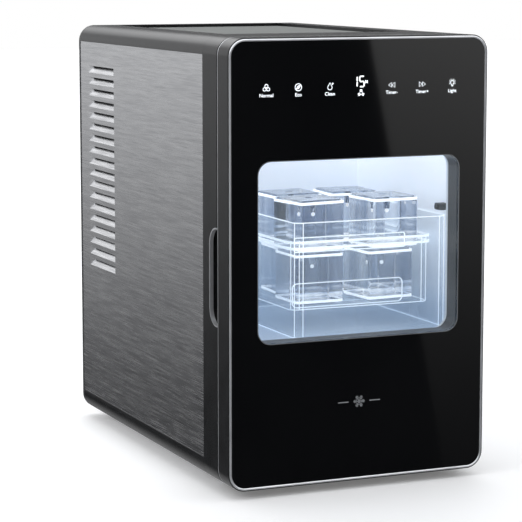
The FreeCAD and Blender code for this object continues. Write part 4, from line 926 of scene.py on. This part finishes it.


# ---------------------------------------------------------------- clear plastic edges, painted highlights
@dataclass
class ClearBoxHighlights:
    """Painted highlights along the edges of a clear moulded box: glowing lines on its rims, corners and
    floor.
    """

    node: str
    body: str
    corner_mm: float
    line_mm: float = 0.8
    proud_mm: float = 0.2
    rims_mm: tuple[float, ...] = (0.0,)
    thick_mm: float = 0.8
    wall_in_mm: float = 0.0
    front_in_mm: float = 0.0
    foot_mm: float = 0.0
    head_mm: float = 0.0

    def __post_init__(self) -> None:
        """Takes the box's sides from its node."""
        low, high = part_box(self.node)
        self.low = Vector((low.x, low.y + self.front_in_mm * MM, low.z + self.foot_mm * MM))
        self.high = Vector((high.x, high.y, high.z - self.head_mm * MM))

    def ring(self, made: bmesh.types.BMesh, up: float, inset: float, tall_mm: float | None = None) -> None:
        """Adds one line round the box.

        Args:
            made: the bmesh.
            up: height of the line's middle in metres.
            inset: how far the wall stands inside the rim, in metres.
            tall_mm: the line's height, or None for the usual one.
        """
        low, high = self.low, self.high
        r, p = self.corner_mm * MM, self.proud_mm * MM
        t = (self.line_mm if tall_mm is None else tall_mm) * MM
        outer = rounded_box(low.x + inset - p, low.y + inset - p, high.x - inset + p, high.y - inset + p, r)
        inner = rounded_box(low.x + inset + p, low.y + inset + p, high.x - inset - p, high.y - inset - p,
                            r - 2 * p)
        band(made, outer, inner, lambda a, b, h: Vector((a, b, h)), up - t / 2, up + t / 2)

    def corners(self, made: bmesh.types.BMesh, inset: float) -> None:
        """Adds the upright lines where the walls' corners begin and end."""
        low, high = self.low, self.high
        r, t = self.corner_mm * MM, self.line_mm * MM
        for x, sx in ((low.x + inset, 1), (high.x - inset, -1)):
            for y, sy in ((low.y + inset, 1), (high.y - inset, -1)):
                for px, py in ((x + sx * r, y), (x + sx * 0.15 * r, y + sy * 0.5 * r)):
                    outline = [(px + t / 2 * math.cos(a), py + t / 2 * math.sin(a))
                               for a in (i * FULL_TURN / 8 for i in range(8))]
                    prism(made, outline, lambda a, b, h: Vector((a, b, h)), low.z, high.z)

    def draw(self, made: bmesh.types.BMesh) -> None:
        """Adds all the lines to a bmesh."""
        half, inset = self.line_mm * MM / 2, self.wall_in_mm * MM
        for down in self.rims_mm:
            self.ring(made, self.high.z - self.thick_mm * MM / 2 - down * MM, 0.0, self.thick_mm)
        self.ring(made, self.low.z + half, inset)
        self.corners(made, inset)

    def build(self) -> bpy.types.Object:
        """Makes the painted highlight lines.

        Returns:
            One object with all of them.
        """
        made = bmesh.new()
        self.draw(made)
        # the edge lines glow: painted highlights, not light from a lamp
        piece = add_bmesh(f"{self.node}_edges", made, Palette.PAINTED_EDGE_HIGHLIGHT())
        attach(piece, self.body)
        return piece


@dataclass
class ClearBasketHighlights(ClearBoxHighlights):
    """Painted highlights along the basket's edges, its front lip and the frame embossed below it."""

    lip_mm: float = 2.5
    panel_in_mm: float = 2.8
    panel_w_mm: float = 113.6
    panel_low_mm: float = 2.0
    panel_high_mm: float = 25.0
    panel_r_mm: float = 5.0
    lip_low_mm: float = 54.0
    lip_high_mm: float = 68.0

    def frame(self, made: bmesh.types.BMesh, low_mm: float, high_mm: float, out_mm: float,
              radius_mm: float) -> None:
        """Adds a painted highlight that traces a round-cornered frame on the front wall.

        Args:
            made: the bmesh.
            low_mm: its underside above the basket's floor.
            high_mm: its top above the basket's floor.
            out_mm: how far its front stands before the rim.
            radius_mm: radius of its corners.
        """
        t, r = self.line_mm * MM, radius_mm * MM
        x0 = self.low.x + self.panel_in_mm * MM
        x1 = x0 + self.panel_w_mm * MM
        z0, z1 = self.low.z + low_mm * MM, self.low.z + high_mm * MM
        y = self.low.y - out_mm * MM
        band(made, rounded_box(x0, z0, x1, z1, r), rounded_box(x0 + t, z0 + t, x1 - t, z1 - t, r - t),
             lambda a, b, h: Vector((a, h, b)), y - self.proud_mm * MM, y + t)

    def draw(self, made: bmesh.types.BMesh) -> None:
        """Adds the box's lines, the lip's and the embossed frame's."""
        super().draw(made)
        self.frame(made, self.panel_low_mm, self.panel_high_mm, -self.wall_in_mm, self.panel_r_mm)
        self.frame(made, self.lip_low_mm, self.lip_high_mm, self.lip_mm - self.proud_mm, 2.0)


# ---------------------------------------------------------------- studio
@dataclass
class Studio:
    """Pale floor, white surroundings, soft lamps and the camera."""

    camera_at: Point = (-0.8319, -1.9005, 0.4749)
    turn_deg: float = 23.388
    tilt_deg: float = 8.027
    lens_mm: float = 147.5
    floor_half: float = 9.0
    card_y: float = -2.5
    card_low: float = -1.0
    card_high: float = 0.7
    card_edge: Flat = (1.068, 1.407)
    card_right: float = 3.0
    card_dark: float = -0.75
    card_light: float = 0.35
    card_power: float = 1.3
    left_across: Flat = (0.0, 0.3)
    left_rise: Flat = (-0.20, 0.03)
    right_across: Flat = (0.52, 0.85)
    right_rise: Flat = (-0.2, 0.1)
    high_bright: Flat = (0.24, 0.38)
    high_faint: Flat = (0.04, 0.2)
    front_ahead: Flat = (0.55, 0.75)
    front_rise: Flat = (0.1, 0.4)
    below_fall: Flat = (0.24, 0.42)

    def camera(self) -> None:
        """Places the camera."""
        data = bpy.data.cameras.new("camera")
        data.lens = self.lens_mm
        data.sensor_width = 36.0
        data.clip_start = 0.01
        data.clip_end = 60.0
        camera = bpy.data.objects.new("camera", data)
        camera.location = self.camera_at
        camera.rotation_euler = Euler((math.radians(90 - self.tilt_deg), 0, math.radians(-self.turn_deg)))
        bpy.context.scene.collection.objects.link(camera)
        bpy.context.scene.camera = camera

    def floor(self) -> None:
        """Lays the floor."""
        h = self.floor_half
        # the floor glows, faintly at the front and more towards the back: painted light that blends it into
        # the white backdrop
        finish = Glow("studio_floor", (0.90, 0.905, 0.91), (0.88, 0.885, 0.89), 0.6, 0.02,
                      cloud=(2.0, 2.0, 2.0), depth_mm=0.0, strength=0.0, glow=(0.36, 0.355, 0.35),
                      dim=(0.02, 0.02, 0.02), axis=1, low=-1.0, high=1.6)
        floor = add_mesh("floor", [(-h, -h, 0), (h, -h, 0), (h, h, 0), (-h, h, 0)], [(0, 1, 2, 3)],
                         finish.material())
        floor.visible_glossy = False

    def world(self) -> None:
        """White where the camera looks, darker where the glass looks."""
        world = bpy.data.worlds.new("studio")
        bpy.context.scene.world = world
        graph = Graph(world)
        way = graph.node("ShaderNodeTexCoord").outputs["Generated"]
        parts = graph.node("ShaderNodeSeparateXYZ", None, {0: way})
        x, y, z = (Value(graph, parts.outputs[i]) for i in range(3))
        left = (x * -1.0).between(*self.left_across) * z.between(*self.left_rise) * 0.42
        right = x.between(*self.right_across) * z.between(*self.right_rise) * 0.3
        high = z.between(*self.high_bright) * 0.95 + z.between(*self.high_faint) * 0.05
        shine = graph.maths("MAXIMUM", graph.maths("MAXIMUM", left, right), high)
        front = (y * -1.0).between(*self.front_ahead) * (1.0 - z.between(*self.front_rise))
        below = (z * -1.0).between(*self.below_fall) * 0.2
        lit = graph.maths("MAXIMUM", shine * (1.0 - front), below)
        mirror = graph.mix((0.02, 0.0205, 0.022), (2.2, 2.21, 2.24), lit)
        rays = graph.node("ShaderNodeLightPath").outputs
        soft = Value(graph, rays["Is Diffuse Ray"])
        camera = Value(graph, rays["Is Camera Ray"])
        room = graph.mix(mirror, (0.80, 0.81, 0.83), soft)
        colour = graph.mix(room, (1.0, 1.0, 1.0), camera)
        back = graph.node("ShaderNodeBackground", None, {"Color": colour, "Strength": 1.0})
        graph.node("ShaderNodeOutputWorld", None, {"Surface": back.outputs[0]})

    def card(self) -> None:
        """Hangs the pale card whose slanted edge shows in the door's glass."""
        y = self.card_y
        low, high = self.card_low, self.card_high
        left_low = self.card_edge[1]
        left_high = self.card_edge[0]
        verts = [(left_low, y, low), (self.card_right, y, low), (self.card_right, y, high),
                 (left_high, y, high)]
        material = bpy.data.materials.new("studio_card")
        graph = Graph(material)
        rise = graph.axis(2).between(self.card_dark, self.card_light)
        across = graph.axis(0).between(left_high, self.card_right)
        power = (0.04 + rise * rise * 0.8) * (0.8 + across * 0.9)
        shade = graph.mix((0.0, 0.0, 0.0), (1.0, 1.0, 1.0), power)
        glow = graph.node("ShaderNodeEmission", None, {"Color": shade, "Strength": self.card_power})
        graph.node("ShaderNodeOutputMaterial", None, {"Surface": glow.outputs[0]})
        card = add_mesh("card", verts, [(0, 1, 2, 3)], material)
        card.visible_camera = card.visible_diffuse = card.visible_transmission = False
        card.visible_shadow = False

    def lamp(self, name: str, place: Point, aim: Point, size: Flat, power: float,
             colour: RGB = (1.0, 1.0, 1.0)) -> bpy.types.Object:
        """Adds one soft lamp.

        Args:
            name: its name.
            place: its place.
            aim: the point that it faces.
            size: its width and height.
            power: its power in watts.
            colour: its light's colour.

        Returns:
            The lamp.
        """
        data = bpy.data.lights.new(name, "AREA")
        data.shape = "RECTANGLE"
        data.size, data.size_y = size
        data.energy = power
        data.color = colour
        lamp = bpy.data.objects.new(name, data)
        lamp.location = place
        lamp.rotation_euler = (Vector(aim) - Vector(place)).to_track_quat("-Z", "Y").to_euler()
        bpy.context.scene.collection.objects.link(lamp)
        return lamp

    def build(self) -> None:
        """Sets up the whole studio."""
        scene = bpy.context.scene
        scene.view_settings.view_transform = "Standard"
        scene.cycles.transparent_max_bounces = 32
        scene.cycles.transmission_bounces = 16
        scene.cycles.max_bounces = 18
        self.camera()
        self.floor()
        self.world()
        self.card()
        self.lamp("top_soft", (-0.3, 0.2, 2.2), (0, 0, 0.2), (1.6, 1.6), 9.0)
        self.lamp("left_soft", (-1.6, -0.5, 1.3), (0, 0, 0.25), (0.9, 0.9), 5.0)


def main() -> None:
    """Builds the machine's visible detail in order."""
    logging.basicConfig(level=logging.INFO, format="%(name)s: %(message)s")
    dress_frame()
    TouchPanel().build()
    WindowEdge().build()
    IceLoad().build()
    ClearBoxHighlights("outer_bin", "cabinet", 8.0).build()
    ClearBasketHighlights("ice_basket", "basket", 8.0, rims_mm=(0.0, 5.6), thick_mm=2.2, wall_in_mm=2.0,
                front_in_mm=2.5, foot_mm=20.0, head_mm=4.0).build()
    Studio().build()


if __name__ == "__main__":
    main()
